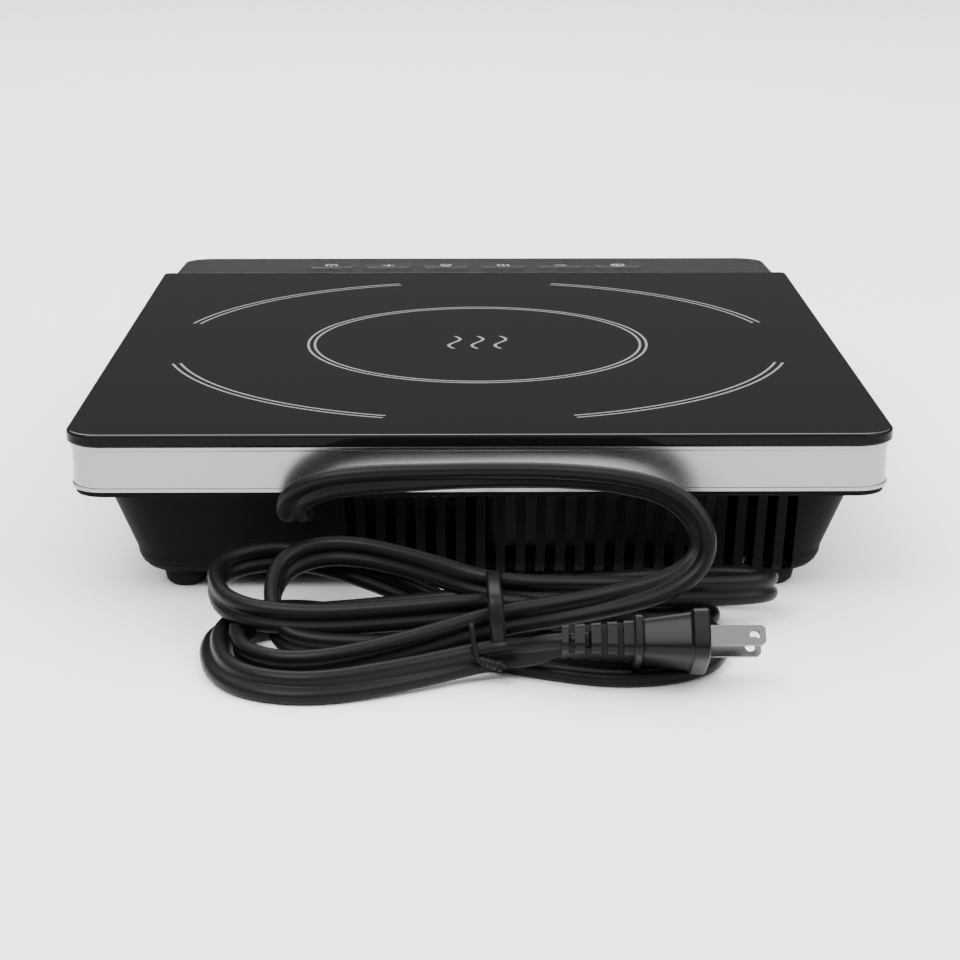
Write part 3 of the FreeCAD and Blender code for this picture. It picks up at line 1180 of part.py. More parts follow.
def innerCord():
    # Flat cord from the bush down through the clamp to the board edge.
    body = newBody("inner_cord", "dim.bushX")
    back = f"({wallY} - dim.tubWall - 8)"
    low = f"({tubFloor} + dim.powerStand * 0.6 + 0.05)"
    top = f"({low} + dim.cordThick - 0.1)"
    half = "(dim.cordThick / 2 - 0.05)"
    end = f"{clampY} - 14"
    drawing = sketch(body, plane="YZ_Plane")
    outline(drawing, [(back, f"dim.bushZ + {half}"), (f"{clampY} + 15.4", f"dim.bushZ + {half}"),
                      (f"{clampY} + 5.4", top), (end, top), (end, low), (f"{clampY} + 8.6", low),
                      (f"{clampY} + 18.6", f"dim.bushZ - {half}"), (back, f"dim.bushZ - {half}")])
    pad(body, drawing, "dim.cordWidth - 0.1", middle=True)


# Free cord: route points chosen by hand, in millimetres from the body's own origin.
cordRound = 7.9
leadRoute = [(61, 169.65, 34.3), (61, 176, 34.4), (63.5, 183.5, 37.5), (62, 190, 44.5), (52, 194, 50.5),
             (38, 195.2, 52.6), (20, 195, 53.3), (0, 194.4, 53.8), (-24, 195.2, 54), (-46, 198, 53),
             (-63, 201, 49), (-73, 204.5, 38.5), (-71.5, 207.5, 27.5), (-61, 211, 21), (-43, 218, 18.5)]
# Hank: x, y and z of a section's middle, and its half sizes in y and z; wide loops, pinched at the tie.
hankSections = [(94, 206, 11, 20, 10), (84, 211, 13.5, 38, 13), (66, 216, 15.5, 46, 15.2),
                (44, 218, 15.5, 45, 15.2), (22, 223, 15.4, 30, 15), (4, 225.5, 15.7, 16, 14),
                (-12, 225.5, 15.7, 15.5, 14), (-24, 218, 12.6, 19, 12), (-45, 206, 9.4, 34, 9),
                (-66, 203, 9.2, 33, 8.8), (-84, 192, 9.2, 20, 8.6), (-99, 187, 9.5, 12, 7.5)]
hankCorners = 16
hankSquare = 0.7
tieX = -4
tieHalfY = 16.2
tieTop = 30
tieThick = 1.4
tieWide = 5
tieCorner = 8
plugPlace = Vector(-69.4, 250, 16.2)
plugAcross = Vector(0, -0.6, 0.8)
plugBladeWay = Vector(0, 0.8, 0.6)


def hankSection(x, y, z, halfY, halfZ):
    ring = []
    for step in range(hankCorners):
        angle = 2 * math.pi * step / hankCorners
        across = math.copysign(abs(math.cos(angle)) ** hankSquare, math.cos(angle))
        up = math.copysign(abs(math.sin(angle)) ** hankSquare, math.sin(angle))
        ring.append(Vector(x, y + halfY * across, z + halfZ * up))
    return Part.makePolygon(ring + [ring[0]])


def cordHank():
    piece = doc.addObject("Part::Feature", "cord_hank")
    piece.Shape = Part.makeLoft([hankSection(*section) for section in hankSections], True, True)
    return keep(piece, "cord_hank")


def twistTie():
    # Flat wire tie wound round the pinch of the hank.
    body = newBody("twist_tie", str(tieX), "225.5")
    drawing = sketch(body, plane="YZ_Plane")
    for sheet in (tieThick, 0):
        roundRect(drawing, str(-tieHalfY - sheet), str(tieThick - sheet), str(tieHalfY + sheet),
                  str(tieTop + sheet), str(tieCorner))
    pad(body, drawing, str(tieWide), middle=True)


def plugBody(label):
    body = newBody(label)
    turned = FreeCAD.Rotation(Vector(-1, 0, 0), plugAcross, plugBladeWay, "XYZ")
    body.Placement = FreeCAD.Placement(plugPlace, turned)
    return body


def plugSection(body, level, halfY, halfZ, radius):
    drawing = sketch(body, level, "YZ_Plane")
    roundRect(drawing, f"-{halfY}", f"-{halfZ}", halfY, halfZ, radius)
    return drawing


def plug():
    faceY = "(dim.plugFaceWidth / 2)"
    faceZ = "(dim.plugFaceHeight / 2)"
    body = plugBody("plug_body")
    pad(body, plugSection(body, "-5", faceY, faceZ, "5"), "5")
    loft(body, [plugSection(body, "-20", f"{faceY} * 0.72", f"{faceZ} * 0.68", "3.5"),
                plugSection(body, "-5", f"{faceY} * 0.92", f"{faceZ} * 0.9", "4.5")])
    pad(body, plugSection(body, "-23", f"{faceY} * 0.84", f"{faceZ} * 0.8", "4"), "3")
    roundEdges(body, lambda edge: edge.BoundBox.XMin > -0.01, "0.5")

    body = plugBody("plug_strain_relief")
    loft(body, [plugSection(body, "-45", "4.2", "6.2", "2.5"), plugSection(body, "-23", "5.6", "7.4", "3")])
    for side in (-1, 1):
        drawing = sketch(body, "0", "XZ_Plane")
        edge = sorted((side * 2.6, side * 9))
        for number in range(4):
            left = -43 + 5 * number
            rectangle(drawing, str(left), str(edge[0]), str(left + 2), str(edge[1]))
        pocket(body, drawing, "30", middle=True)

    body = plugBody("plug_blades")
    for side in ("-1", "1"):
        drawing = sketch(body, f"{side} * dim.plugBladePitch / 2 - dim.plugBladeThick / 2")
        tip = "dim.plugBladeLength"
        half = "(dim.plugBladeWidth / 2)"
        outline(drawing, [("0", f"-{half}"), (f"{tip} - 1.2", f"-{half}"), (tip, f"-{half} + 1"),
                          (tip, f"{half} - 1"), (f"{tip} - 1.2", half), ("0", half)])
        circle(drawing, f"{tip} - 3.4", "0", "3.2")
        pad(body, drawing, "dim.plugBladeThick")


# ---- build and write -----------------------------------------------------------------------

glassTop()
glassSeal()
trimBand()
upperFrame()
bottomHousing()
feet()
caseScrews()
controlFascia()
displayWindow()
keys()
controlBoard()
coil()
fan()
powerBoard()
innerWires()
ribbonCable()
cordBush()
cordClamp()
innerCord()
tube("cord_lead", leadRoute, cordRound)
cordHank()
twistTie()
plug()
doc.recompute()

for item in doc.Objects:
    if "Invalid" in item.State or "Error" in item.State:
        raise RuntimeError(f"{item.Label} failed: {item.State}")
os.makedirs("parts", exist_ok=True)
for piece in pieces:
    if piece.Shape.isNull() or not piece.Shape.isValid():
        raise RuntimeError(f"{piece.Label} has no valid shape")
    piece.Shape.exportStep(f"parts/{piece.Label}.step")
    box = piece.Shape.BoundBox
    print(f"{piece.Label}: {len(piece.Shape.Solids)} solid(s), {piece.Shape.Volume:.0f} mm3,",
          f"x {box.XMin:.1f}..{box.XMax:.1f}, y {box.YMin:.1f}..{box.YMax:.1f},",
          f"z {box.ZMin:.1f}..{box.ZMax:.1f}")
print(len(pieces), "nodes")
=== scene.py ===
import math

import bmesh
import bpy
from mathutils import Matrix, Vector


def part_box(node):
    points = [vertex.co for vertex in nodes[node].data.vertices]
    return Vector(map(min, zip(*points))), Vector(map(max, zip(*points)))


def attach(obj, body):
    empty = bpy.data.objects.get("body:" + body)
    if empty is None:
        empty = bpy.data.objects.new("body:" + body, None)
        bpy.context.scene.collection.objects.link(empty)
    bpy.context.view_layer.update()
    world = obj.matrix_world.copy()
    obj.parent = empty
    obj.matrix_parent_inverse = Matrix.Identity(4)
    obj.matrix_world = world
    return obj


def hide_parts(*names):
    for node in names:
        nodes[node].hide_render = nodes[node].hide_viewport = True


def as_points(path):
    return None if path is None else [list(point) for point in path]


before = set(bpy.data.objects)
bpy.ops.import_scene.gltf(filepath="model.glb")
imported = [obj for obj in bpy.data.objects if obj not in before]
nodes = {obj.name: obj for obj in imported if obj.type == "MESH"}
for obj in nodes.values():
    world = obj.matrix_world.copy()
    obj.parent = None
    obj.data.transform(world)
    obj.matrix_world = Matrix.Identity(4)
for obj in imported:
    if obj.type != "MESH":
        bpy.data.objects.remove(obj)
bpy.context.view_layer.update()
mm = 0.001


# Camera, floor and light

view = {
    "place": (0.0062, 0.9137, 0.2629),
    "forward": (-0.0079, -0.9596, -0.2812),
    "roll": 0.0,  # degrees
    "lens": 85.7,
}

studio = {
    "floorSize": 18.0,
    "floorGrey": 0.94,
    "floorPlace": (0, -1.5, 0),
    "floorRoughness": 0.9,
    "horizon": 0.11,
    "horizonTop": 0.32,  # share of the way up where the sky starts to brighten
    "zenith": 2.9,
    "zenithFrom": 0.75,
    "keyPower": 60.0,
    "keyPlace": (0.9, 1.3, 1.9),
    "keySize": 1.4,
    "fillPower": 34.0,
    "fillPlace": (-1.3, 0.9, 1.2),
    "fillSize": 1.6,
    "backPower": 30.0,
    "backPlace": (0.1, -1.6, 1.6),
    "backSize": 1.6,
    "aim": (0, 0.05, 0.03),
}


def addCamera():
    camera = bpy.data.objects.new("camera", bpy.data.cameras.new("camera"))
    camera.data.lens = view["lens"]
    camera.data.sensor_width = 36
    camera.data.clip_start = 0.01
    camera.location = view["place"]
    turned = Vector(view["forward"]).to_track_quat("-Z", "Y")
    rolled = Matrix.Rotation(math.radians(view["roll"]), 3, "Z").to_quaternion()
    camera.rotation_mode = "QUATERNION"
    camera.rotation_quaternion = turned @ rolled
    bpy.context.scene.collection.objects.link(camera)
    bpy.context.scene.camera = camera


def addSoftbox(name, place, power, size):
    lamp = bpy.data.lights.new(name, "AREA")
    lamp.energy = power
    lamp.size = size
    holder = bpy.data.objects.new(name, lamp)
    holder.location = place
    aim = Vector(studio["aim"]) - Vector(place)
    holder.rotation_euler = aim.to_track_quat("-Z", "Y").to_euler()
    bpy.context.scene.collection.objects.link(holder)


# Materials

class Value:
    # one output of a material's nodes, used in ordinary sums
    def __init__(self, paint, socket):
        self.paint = paint
        self.socket = socket

    def apply(self, operation, *others, swap=False):
        terms = [self, *others]
        if swap:
            terms.reverse()
        return self.paint.node("ShaderNodeMath", {"operation": operation}, dict(enumerate(terms)))

    def __add__(self, other):
        return self.apply("ADD", other)

    def __sub__(self, other):
        return self.apply("SUBTRACT", other)

    def __mul__(self, other):
        return self.apply("MULTIPLY", other)

    def __truediv__(self, other):
        return self.apply("DIVIDE", other)

    def __pow__(self, other):
        return self.apply("POWER", other)

    def __radd__(self, other):
        return self.apply("ADD", other)

    def __rmul__(self, other):
        return self.apply("MULTIPLY", other)

    def __rsub__(self, other):
        return self.apply("SUBTRACT", other, swap=True)

    def __rtruediv__(self, other):
        return self.apply("DIVIDE", other, swap=True)

    def __abs__(self):
        return self.apply("ABSOLUTE")

    def least(self, other):
        return self.apply("MINIMUM", other)

    def most(self, other):
        return self.apply("MAXIMUM", other)

    def clamped(self):
        return self.most(0).least(1)


class Paint:
    # one material with its shader; sockets are set by name
    def __init__(self, name, grey, roughness, extra=None):
        self.material = bpy.data.materials.new(name)
        self.material.use_nodes = True
        self.nodes = self.material.node_tree.nodes
        self.links = self.material.node_tree.links
        self.shader = self.nodes["Principled BSDF"]
        self.give("Base Color", grey)
        self.give("Roughness", roughness)
        for socket, value in (extra or {}).items():
            self.give(socket, value)
        self.place = None

    def give(self, socket, value):
        target = self.shader.inputs[socket]
        if isinstance(value, Value):
            self.links.new(value.socket, target)
        elif target.type == "RGBA":
            target.default_value = colour(value)
        else:
            target.default_value = value

    def node(self, kind, settings, sockets, output=0):
        made = self.nodes.new(kind)
        for name, value in settings.items():
            if name == "stops":
                setStops(made.color_ramp, value)
            else:
                setattr(made, name, value)
        for name, value in sockets.items():
            target = made.inputs[name]
            if isinstance(value, Value):
                self.links.new(value.socket, target)
            elif target.type == "RGBA":
                target.default_value = colour(value)
            else:
                target.default_value = value
        return Value(self, made.outputs[output])

    def point(self):
        if self.place is None:
            self.place = self.node("ShaderNodeTexCoord", {}, {}, "Object")
        return self.place

    def axes(self):
        return [self.node("ShaderNodeSeparateXYZ", {}, {"Vector": self.point()}, axis) for axis in "XYZ"]

    def mix(self, factor, first, second):
        # the colour sockets of a Mix node come after its float and vector ones
        return self.node("ShaderNodeMix", {"data_type": "RGBA"}, {0: factor, 6: first, 7: second}, 2)

    def stretched(self, scale):
        return self.node(
            "ShaderNodeVectorMath", {"operation": "MULTIPLY"}, {0: self.point(), 1: scale}
        )

    def noise(self, scale, detail=2.0, stretch=(1, 1, 1)):
        return self.node(
            "ShaderNodeTexNoise",
            {},
            {"Vector": self.stretched(stretch), "Scale": scale, "Detail": detail},
        )

    def bump(self, height, strength, depth):
        bumped = self.node(
            "ShaderNodeBump", {}, {"Height": height, "Strength": strength, "Distance": depth}
        )
        self.give("Normal", bumped)


def colour(value):
    if isinstance(value, (int, float)):
        return (value, value, value, 1)
    return (*value[:3], 1)


def setStops(ramp, stops):
    while len(ramp.elements) < len(stops):
        ramp.elements.new(1)
    for element, (position, value) in zip(ramp.elements, stops):
        element.position = position
        element.color = colour(value)


def cover(piece, paint):
    # every slot of a piece or CAD node takes this material
    if not piece.data.materials:
        piece.data.materials.append(paint.material)
    for seat in piece.material_slots:
        seat.material = paint.material


def shades(tint, share):
    return [part * share for part in colour(tint)[:3]]


def speckled(name, grey, roughness, grain, depth, extra=None):
    # a moulded surface with a fine texture and slightly uneven gloss
    paint = Paint(name, grey, roughness, extra)
    fine = paint.noise(grain, 3)
    broad = paint.noise(grain / 40, 2)
    paint.give("Roughness", roughness + (broad - 0.5) * 0.12)
    dark, light = shades(grey, 0.85), shades(grey, 1.15)
    paint.give("Base Color", paint.mix(fine, dark, light))
    paint.bump(fine, 0.35, depth)
    return paint


def makeFloor():
    bpy.ops.mesh.primitive_plane_add(size=studio["floorSize"], location=studio["floorPlace"])
    floor = bpy.context.active_object
    floor.name = "floor"
    cover(floor, Paint("floorPaper", studio["floorGrey"], studio["floorRoughness"]))


def makeWorld():
    world = bpy.data.worlds.new("studio")
    bpy.context.scene.world = world
    world.use_nodes = True
    tree = world.node_tree
    back = tree.nodes["Background"]
    where = tree.nodes.new("ShaderNodeTexCoord")
    split = tree.nodes.new("ShaderNodeSeparateXYZ")
    ramp = tree.nodes.new("ShaderNodeValToRGB")
    low, high = studio["horizon"], studio["zenith"]
    stops = [(0.0, low), (studio["horizonTop"], low), (studio["zenithFrom"], high)]
    setStops(ramp.color_ramp, stops)
    tree.links.new(where.outputs["Generated"], split.inputs[0])
    tree.links.new(split.outputs["Z"], ramp.inputs["Fac"])
    tree.links.new(ramp.outputs["Color"], back.inputs["Color"])
    back.inputs["Strength"].default_value = 1.0


addCamera()
makeFloor()
makeWorld()
for name in ("key", "fill", "back"):
    addSoftbox(f"{name}Light", studio[f"{name}Place"], studio[f"{name}Power"], studio[f"{name}Size"])
print("camera, floor and light are in place")


# Meshes

def addMesh(name, vertices, faces, body="root", smooth=True):
    mesh = bpy.data.meshes.new(name)
    mesh.from_pydata([tuple(vertex) for vertex in vertices], [], faces)
    mesh.validate()
    shape = bmesh.new()
    shape.from_mesh(mesh)
    bmesh.ops.recalc_face_normals(shape, faces=shape.faces)
    shape.to_mesh(mesh)
    shape.free()
    if smooth:
        mesh.shade_smooth()
    piece = bpy.data.objects.new(name, mesh)
    bpy.context.scene.collection.objects.link(piece)
    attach(piece, body)
    return piece


def skinOf(rings, closed=False):
    # faces between rings that have the same number of points, with flat caps
    count = len(rings[0])
    faces = []
    last = len(rings) if closed else len(rings) - 1
    for row in range(last):
        here = row * count
        there = (row + 1) % len(rings) * count
        for step in range(count):
            after = (step + 1) % count
            faces.append((here + step, here + after, there + after, there + step))
    if not closed:
        faces.append(tuple(reversed(range(count))))
        faces.append(tuple((len(rings) - 1) * count + step for step in range(count)))
    return [point for ring in rings for point in ring], faces


def linePoints(name, points, resolution):
    # a smooth line through the run of the control points, read back as points
    curve = bpy.data.curves.new(name, "CURVE")
    curve.dimensions = "3D"
    spline = curve.splines.new("NURBS")
    spline.points.add(len(points) - 1)
    for seat, point in zip(spline.points, points):
        seat.co = (*point, 1)
    spline.order_u = 3
    spline.use_endpoint_u = True
    spline.resolution_u = resolution
    holder = bpy.data.objects.new(name, curve)
    bpy.context.scene.collection.objects.link(holder)
    mesh = bpy.data.meshes.new_from_object(holder)
    line = [vertex.co.copy() for vertex in mesh.vertices]
    bpy.data.objects.remove(holder)
    bpy.data.meshes.remove(mesh)
    return line


# Cord: a flat twin lead out of the back, seven half turns through the tie, then the plug

cord = {
    "width": 10.6 * mm,
    "thick": 5.3 * mm,
    "length": 1.68,
    "exit": (0.061, 0.1697, 0.0343),
    "fullness": 0.75,  # how square the ends of the loops are
    "lowest": 0.2 * mm,
    "samples": 16,  # points read from the line between two control points
}

# points of the lead, each with the way its width lies
lead = [
    ((0.0610, 0.16965, 0.0343), (1, 0, 0)),
    ((0.0610, 0.1760, 0.0344), (1, 0, 0)),
    ((0.0635, 0.1835, 0.0375), (1, 0, 0.2)),
    ((0.0620, 0.1900, 0.0445), (0.7, 0.1, 0.7)),
    ((0.0520, 0.1940, 0.0505), (0.2, 0.3, 0.95)),
    ((0.0380, 0.1952, 0.0526), (0, 0.35, 0.93)),
    ((0.0200, 0.1950, 0.0533), (0, 0.5, 0.87)),
    ((0.0000, 0.1944, 0.0538), (0, 0.6, 0.8)),
    ((-0.0240, 0.1952, 0.0540), (0, 0.65, 0.76)),
    ((-0.0460, 0.1980, 0.0530), (-0.1, 0.65, 0.75)),
    ((-0.0630, 0.2010, 0.0490), (-0.45, 0.68, 0.55)),
    ((-0.0730, 0.2045, 0.0385), (-0.6, 0.8, 0)),
    ((-0.0715, 0.2075, 0.0275), (-0.5, 0.8, -0.4)),
    ((-0.0610, 0.2110, 0.0210), (-0.2, 0.6, -0.8)),
    ((-0.0430, 0.2180, 0.0185), (0, 0.2, -1)),
    ((-0.0220, 0.2265, 0.0175), (0, 0, -1)),
]

# where each run passes through the tie: back to front, and up
tieX = -0.004
seats = {
    "lead": (0.2315, 0.0165),
    "plug": (0.2385, 0.0080),
    "lowFront": (0.2320, 0.0057),
    "midHigh": (0.2255, 0.0190),
    "top": (0.2190, 0.0225),
    "midLow": (0.2250, 0.0060),
    "backHigh": (0.2130, 0.0170),
    "backLow": (0.2130, 0.0060),
}

# half turns in order: seats, first side, far end, last side, and how flat the cord lies (degrees)
halfTurns = [
    ("lead", "backHigh", (0.055, 0.247, 0.0065), (0.080, 0.216, 0.006), (0.058, 0.200, 0.006), 15),
    ("backHigh", "top", (-0.072, 0.174, 0.0105), (-0.0995, 0.185, 0.0125), (-0.068, 0.198, 0.0145), 0),
    ("top", "lowFront", (0.046, 0.187, 0.0265), (0.0695, 0.202, 0.017), (0.056, 0.228, 0.006), 0),
    ("lowFront", "backLow", (-0.045, 0.246, 0.004), (-0.0765, 0.222, 0.005), (-0.062, 0.192, 0.005), 70),
    ("backLow", "midHigh", (0.060, 0.176, 0.021), (0.090, 0.193, 0.0175), (0.057, 0.225, 0.014), 0),
    ("midHigh", "midLow", (-0.056, 0.204, 0.005), (-0.077, 0.186, 0.004), (-0.056, 0.176, 0.004), 70),
    ("midLow", "plug", (0.062, 0.188, 0.005), (0.0885, 0.218, 0.005), (0.055, 0.262, 0.0048), 45),
]

# from the tie into the strain relief of the plug
tail = [
    ((-0.0150, 0.2440, 0.0105), (0, -0.3, -0.95)),
    ((-0.0230, 0.2490, 0.0150), (0, -0.6, -0.85)),
    ((-0.0340, 0.2500, 0.0162), (0, -0.8, -0.6)),
]


def halfTurn(start, stop, first, end, last, flatness):
    # eight points from one seat in the tie round to the next, and the width's way at each
    begin = Vector((tieX, *seats[start]))
    finish = Vector((tieX, *seats[stop]))
    first, end, last = Vector(first), Vector(end), Vector(last)
    full = cord["fullness"]

    def shoulder(side):
        across = end.lerp(side, full)
        across.x = side.x + (end.x - side.x) * full
        return across

    def mouth(seat, side):
        across = seat.lerp(side, 0.6)
        across.x = (seat.x + side.x) / 2
        return across

    points = [mouth(begin, first), first, shoulder(first), end, shoulder(last), last]
    points += [mouth(finish, last), finish]
    ways = []
    for step, point in enumerate(points):
        before = points[step - 1] if step else begin
        after = points[min(step + 1, len(points) - 1)]
        side = (after - before).cross(Vector((0, 0, 1))).normalized()
        share = 0 if point is finish else math.sin(math.pi * (step + 1) / len(points)) ** 0.5
        lean = math.radians(flatness) * share
        ways.append(Vector((0, 0, -1)) * math.cos(lean) + side * math.sin(lean))
    return list(zip(points, ways))


def cordPlan():
    plan = [(Vector(point), Vector(way)) for point, way in lead]
    plan.append((Vector((tieX, *seats["lead"])), Vector((0, 0, -1))))
    for turn in halfTurns:
        plan += halfTurn(*turn)
    plan += [(Vector(point), Vector(way)) for point, way in tail]
    return plan


def twinOutline():
    # two round cores side by side with a groove between them
    radius = cord["thick"] / 2
    outline = []
    for side in (1, -1):
        for step in range(11):
            angle = math.radians(-150 + 30 * step)
            along = side * (radius + radius * math.cos(angle))
            outline.append((along, side * radius * math.sin(angle)))
    return outline


def makeCord():
    plan = cordPlan()
    line = linePoints("cordLine", [point for point, _ in plan], cord["samples"])
    outline = twinOutline()
    rings = []
    for index, point in enumerate(line):
        before = line[max(index - 1, 0)]
        after = line[min(index + 1, len(line) - 1)]
        ahead = (after - before).normalized()
        place = index / (len(line) - 1) * (len(plan) - 1)
        low = min(int(place), len(plan) - 2)
        way = plan[low][1].lerp(plan[low + 1][1], place - low)
        way = (way - ahead * way.dot(ahead)).normalized()
        through = ahead.cross(way)
        ring = [point + way * along + through * off for along, off in outline]
        for corner in ring:
            corner.z = max(corner.z, cord["lowest"])
        rings.append(ring)
    piece = addMesh("mains_cord", *skinOf(rings))
    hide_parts("cord_lead", "cord_hank")
    return piece, line


tieSize = {
    "halfDepth": 17.2 * mm,
    "halfHeight": 15.0 * mm,
    "centre": (0.2258, 0.0153),
    "wide": 5.0 * mm,
    "thick": 0.8 * mm,
    "wire": 0.9 * mm,
    "tailRadius": 0.9 * mm,
    "tailTurns": 2.5,
    "strand": [(0.0035, 0.2425, 0.0200), (0.0030, 0.2442, 0.0160), (0.0022, 0.2450, 0.0120)],
    "twistFrom": (0.0008, 0.2450, 0.0082),
    "twistTo": (-0.0062, 0.2462, 0.0066),
}


def makeTie():
    # a flat band round the runs, its two ends twisted together at the lower front
    rings = []
    for step in range(48):
        angle = 2 * math.pi * step / 48
        squared = 1 / max(abs(math.cos(angle)), abs(math.sin(angle))) ** 0.35
        wobble = 1 + 0.015 * math.sin(3 * angle + 0.6)
        ring = []
        for across, out in ((-1, 0), (-0.6, 1), (0.6, 1), (1, 0), (0.6, -1), (-0.6, -1)):
            deep = tieSize["halfDepth"] * squared * 0.93 * wobble + out * tieSize["thick"] / 2
            high = tieSize["halfHeight"] * squared * 0.93 * wobble + out * tieSize["thick"] / 2
            x = tieX - 0.001 + across * tieSize["wide"] / 2 + 0.0012 * math.sin(angle)
            y = tieSize["centre"][0] + deep * math.cos(angle)
            z = tieSize["centre"][1] + high * math.sin(angle)
            ring.append(Vector((x, y, max(z, 0.0002))))
        rings.append(ring)
    band = addMesh("tie_band", *skinOf(rings, closed=True))
    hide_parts("twist_tie")
    pieces = [band]
    for end in range(2):
        points = [Vector(point) for point in tieSize["strand"]] if end == 0 else []
        for step in range(13):
            turn = math.pi * end + 2 * math.pi * tieSize["tailTurns"] * step / 12
            out = tieSize["tailRadius"] * (1 if step < 10 else 1.7)
            middle = Vector(tieSize["twistFrom"]).lerp(Vector(tieSize["twistTo"]), step / 12)
            rise = Vector((0, 0.4, 1)) * out * math.sin(turn)
            points.append(middle + rise + Vector((0.6, 0.8, 0)) * out * math.cos(turn))
        line = linePoints("tieLine", points, 4)
        pieces.append(roundTube(f"tie_end_{end + 1}", line, tieSize["wire"]))
    return pieces


def roundTube(name, line, radius, body="root", sides=10):
    rings = []
    side = Vector((0.3, 0.2, 1)).normalized()
    for index, point in enumerate(line):
        ahead = (line[min(index + 1, len(line) - 1)] - line[max(index - 1, 0)]).normalized()
        side = (side - ahead * side.dot(ahead)).normalized()
        other = ahead.cross(side)
        ring = []
        for step in range(sides):
            angle = 2 * math.pi * step / sides
            offset = side * math.cos(angle) + other * math.sin(angle)
            ring.append(point + offset * radius)
        rings.append(ring)
    return addMesh(name, *skinOf(rings), body=body)


# Plug: a moulded shell over the blades, along the blades' own direction

plug = {
    "face": (-0.0694, 0.250, 0.0162),
    "across": (0, -0.6, 0.8),
    "alongBlades": (0, 0.8, 0.6),
    # distance behind the face, half size across, half size along the blade pitch
    "sections": [
        (23.0, 6.4, 9.7), (22.5, 7.0, 10.3), (20.6, 7.0, 10.3), (20.1, 6.5, 9.8), (19.9, 5.9, 8.7),
        (19.0, 6.1, 8.9), (12.0, 6.9, 10.2), (5.8, 7.6, 11.4), (5.3, 7.9, 11.9), (4.8, 8.4, 12.9),
        (0.5, 8.5, 13.0), (0.0, 8.1, 12.6),
    ],
    "squareness": 0.45,
    "sides": 56,
    "seam": 0.18,  # mould line, millimetres proud
}


def makePlugShell():
    across = Vector(plug["across"])
    along = Vector(plug["alongBlades"])
    rings = []
    for back, halfAcross, halfAlong in plug["sections"]:
        ring = []
        for step in range(plug["sides"]):
            angle = 2 * math.pi * step / plug["sides"]
            wide = math.copysign(abs(math.cos(angle)) ** plug["squareness"], math.cos(angle)) * halfAlong
            deep = math.copysign(abs(math.sin(angle)) ** plug["squareness"], math.sin(angle)) * halfAcross
            if step in (0, plug["sides"] // 2):
                wide += math.copysign(plug["seam"], wide)
            middle = Vector(plug["face"]) + Vector((back * mm, 0, 0))
            ring.append(middle + along * wide * mm + across * deep * mm)
        rings.append(ring)
    shell = addMesh("plug_shell", *skinOf(rings))
    shell.modifiers.new("edges", "EDGE_SPLIT").split_angle = math.radians(32)
    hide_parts("plug_body")
    return shell


cordPiece, cordLine = makeCord()
tiePieces = makeTie()
plugShell = makePlugShell()
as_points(cordLine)
print("cord, tie and plug are made")


# Printed marks: flat strokes on the keys and the display

marks = {
    "width": 0.75,  # millimetres
    "height": 0.09,
    "lift": 0.02,
    "grey": 0.3,
}


def arc(x, y, radius, start, stop, steps=18):
    turns = [math.radians(start + (stop - start) * step / steps) for step in range(steps + 1)]
    return [(x + radius * math.cos(turn), y + radius * math.sin(turn)) for turn in turns]


def wave(x, height, swing):
    line = []
    for step in range(13):
        share = step / 12
        line.append((x + swing * math.sin(2 * math.pi * share), -height / 2 + height * share))
    return line


symbols = {
    "timer": [arc(0, -0.2, 2.9, 0, 360, 28), [(0, 1.5), (0, -0.2), (1.3, -1.1)], [(-0.9, 3.6), (0.9, 3.6)]],
    "minus": [[(-2.8, 0), (2.8, 0)]],
    "mode": [wave(-2.2, 5.2, 0.5), wave(0, 5.2, 0.5), wave(2.2, 5.2, 0.5)],
    "lock": [
        [(-2.3, -2.9), (2.3, -2.9), (2.3, 0.2), (-2.3, 0.2), (-2.3, -2.9), (2.3, -2.9)],
        [(-1.5, 0.2), *arc(0, 1.5, 1.5, 180, 0, 10), (1.5, 0.2)],
    ],
    "plus": [[(-2.8, 0), (2.8, 0)], [(0, -2.8), (0, 2.8)]],
    "power": [arc(0, -0.3, 2.7, 125, 415, 26), [(0, 0.6), (0, 3.4)]],
}


def topOf(node):
    # middle and upward direction of the largest upward face
    best = max(
        (face for face in nodes[node].data.polygons if face.normal.z > 0.9), key=lambda face: face.area
    )
    lower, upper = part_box(node)
    middle = (lower + upper) / 2
    up = best.normal.normalized()
    middle.z = best.center.z - (up.x * (middle.x - best.center.x) + up.y * (middle.y - best.center.y)) / up.z
    return middle, up


def strokePoints(strokes, width, middle, up):
    # closed flat bars along each stroke, on the plane through middle
    right = Vector((1, 0, 0))
    ahead = up.cross(right).normalized()
    vertices, faces = [], []
    for stroke in strokes:
        rings = []
        for index, (x, y) in enumerate(stroke):
            before = stroke[max(index - 1, 0)]
            after = stroke[min(index + 1, len(stroke) - 1)]
            way = Vector((after[0] - before[0], after[1] - before[1])).normalized()
            side = Vector((-way.y, way.x)) * width / 2
            ring = []
            low, high = marks["lift"], marks["height"]
            for sign, level in ((-1, low), (1, low), (1, high), (-1, high)):
                place = Vector((x, y)) + side * sign
                ring.append(middle + (right * place.x + ahead * place.y + up * level) * mm)
            rings.append(ring)
        points, sides = skinOf(rings)
        faces += [tuple(len(vertices) + corner for corner in face) for face in sides]
        vertices += points
    return vertices, faces


def makeMarks():
    pieces = []
    for name, strokes in symbols.items():
        middle, up = topOf(f"key_{name}")
        solid = strokePoints(strokes, marks["width"], middle, up)
        pieces.append(addMesh(f"mark_{name}", *solid, body=f"{name}_key", smooth=False))
    return pieces


digit = {"width": 6.2, "height": 10.0, "pitch": 9.6, "slant": 0.1, "bar": 1.0, "gap": 0.7}


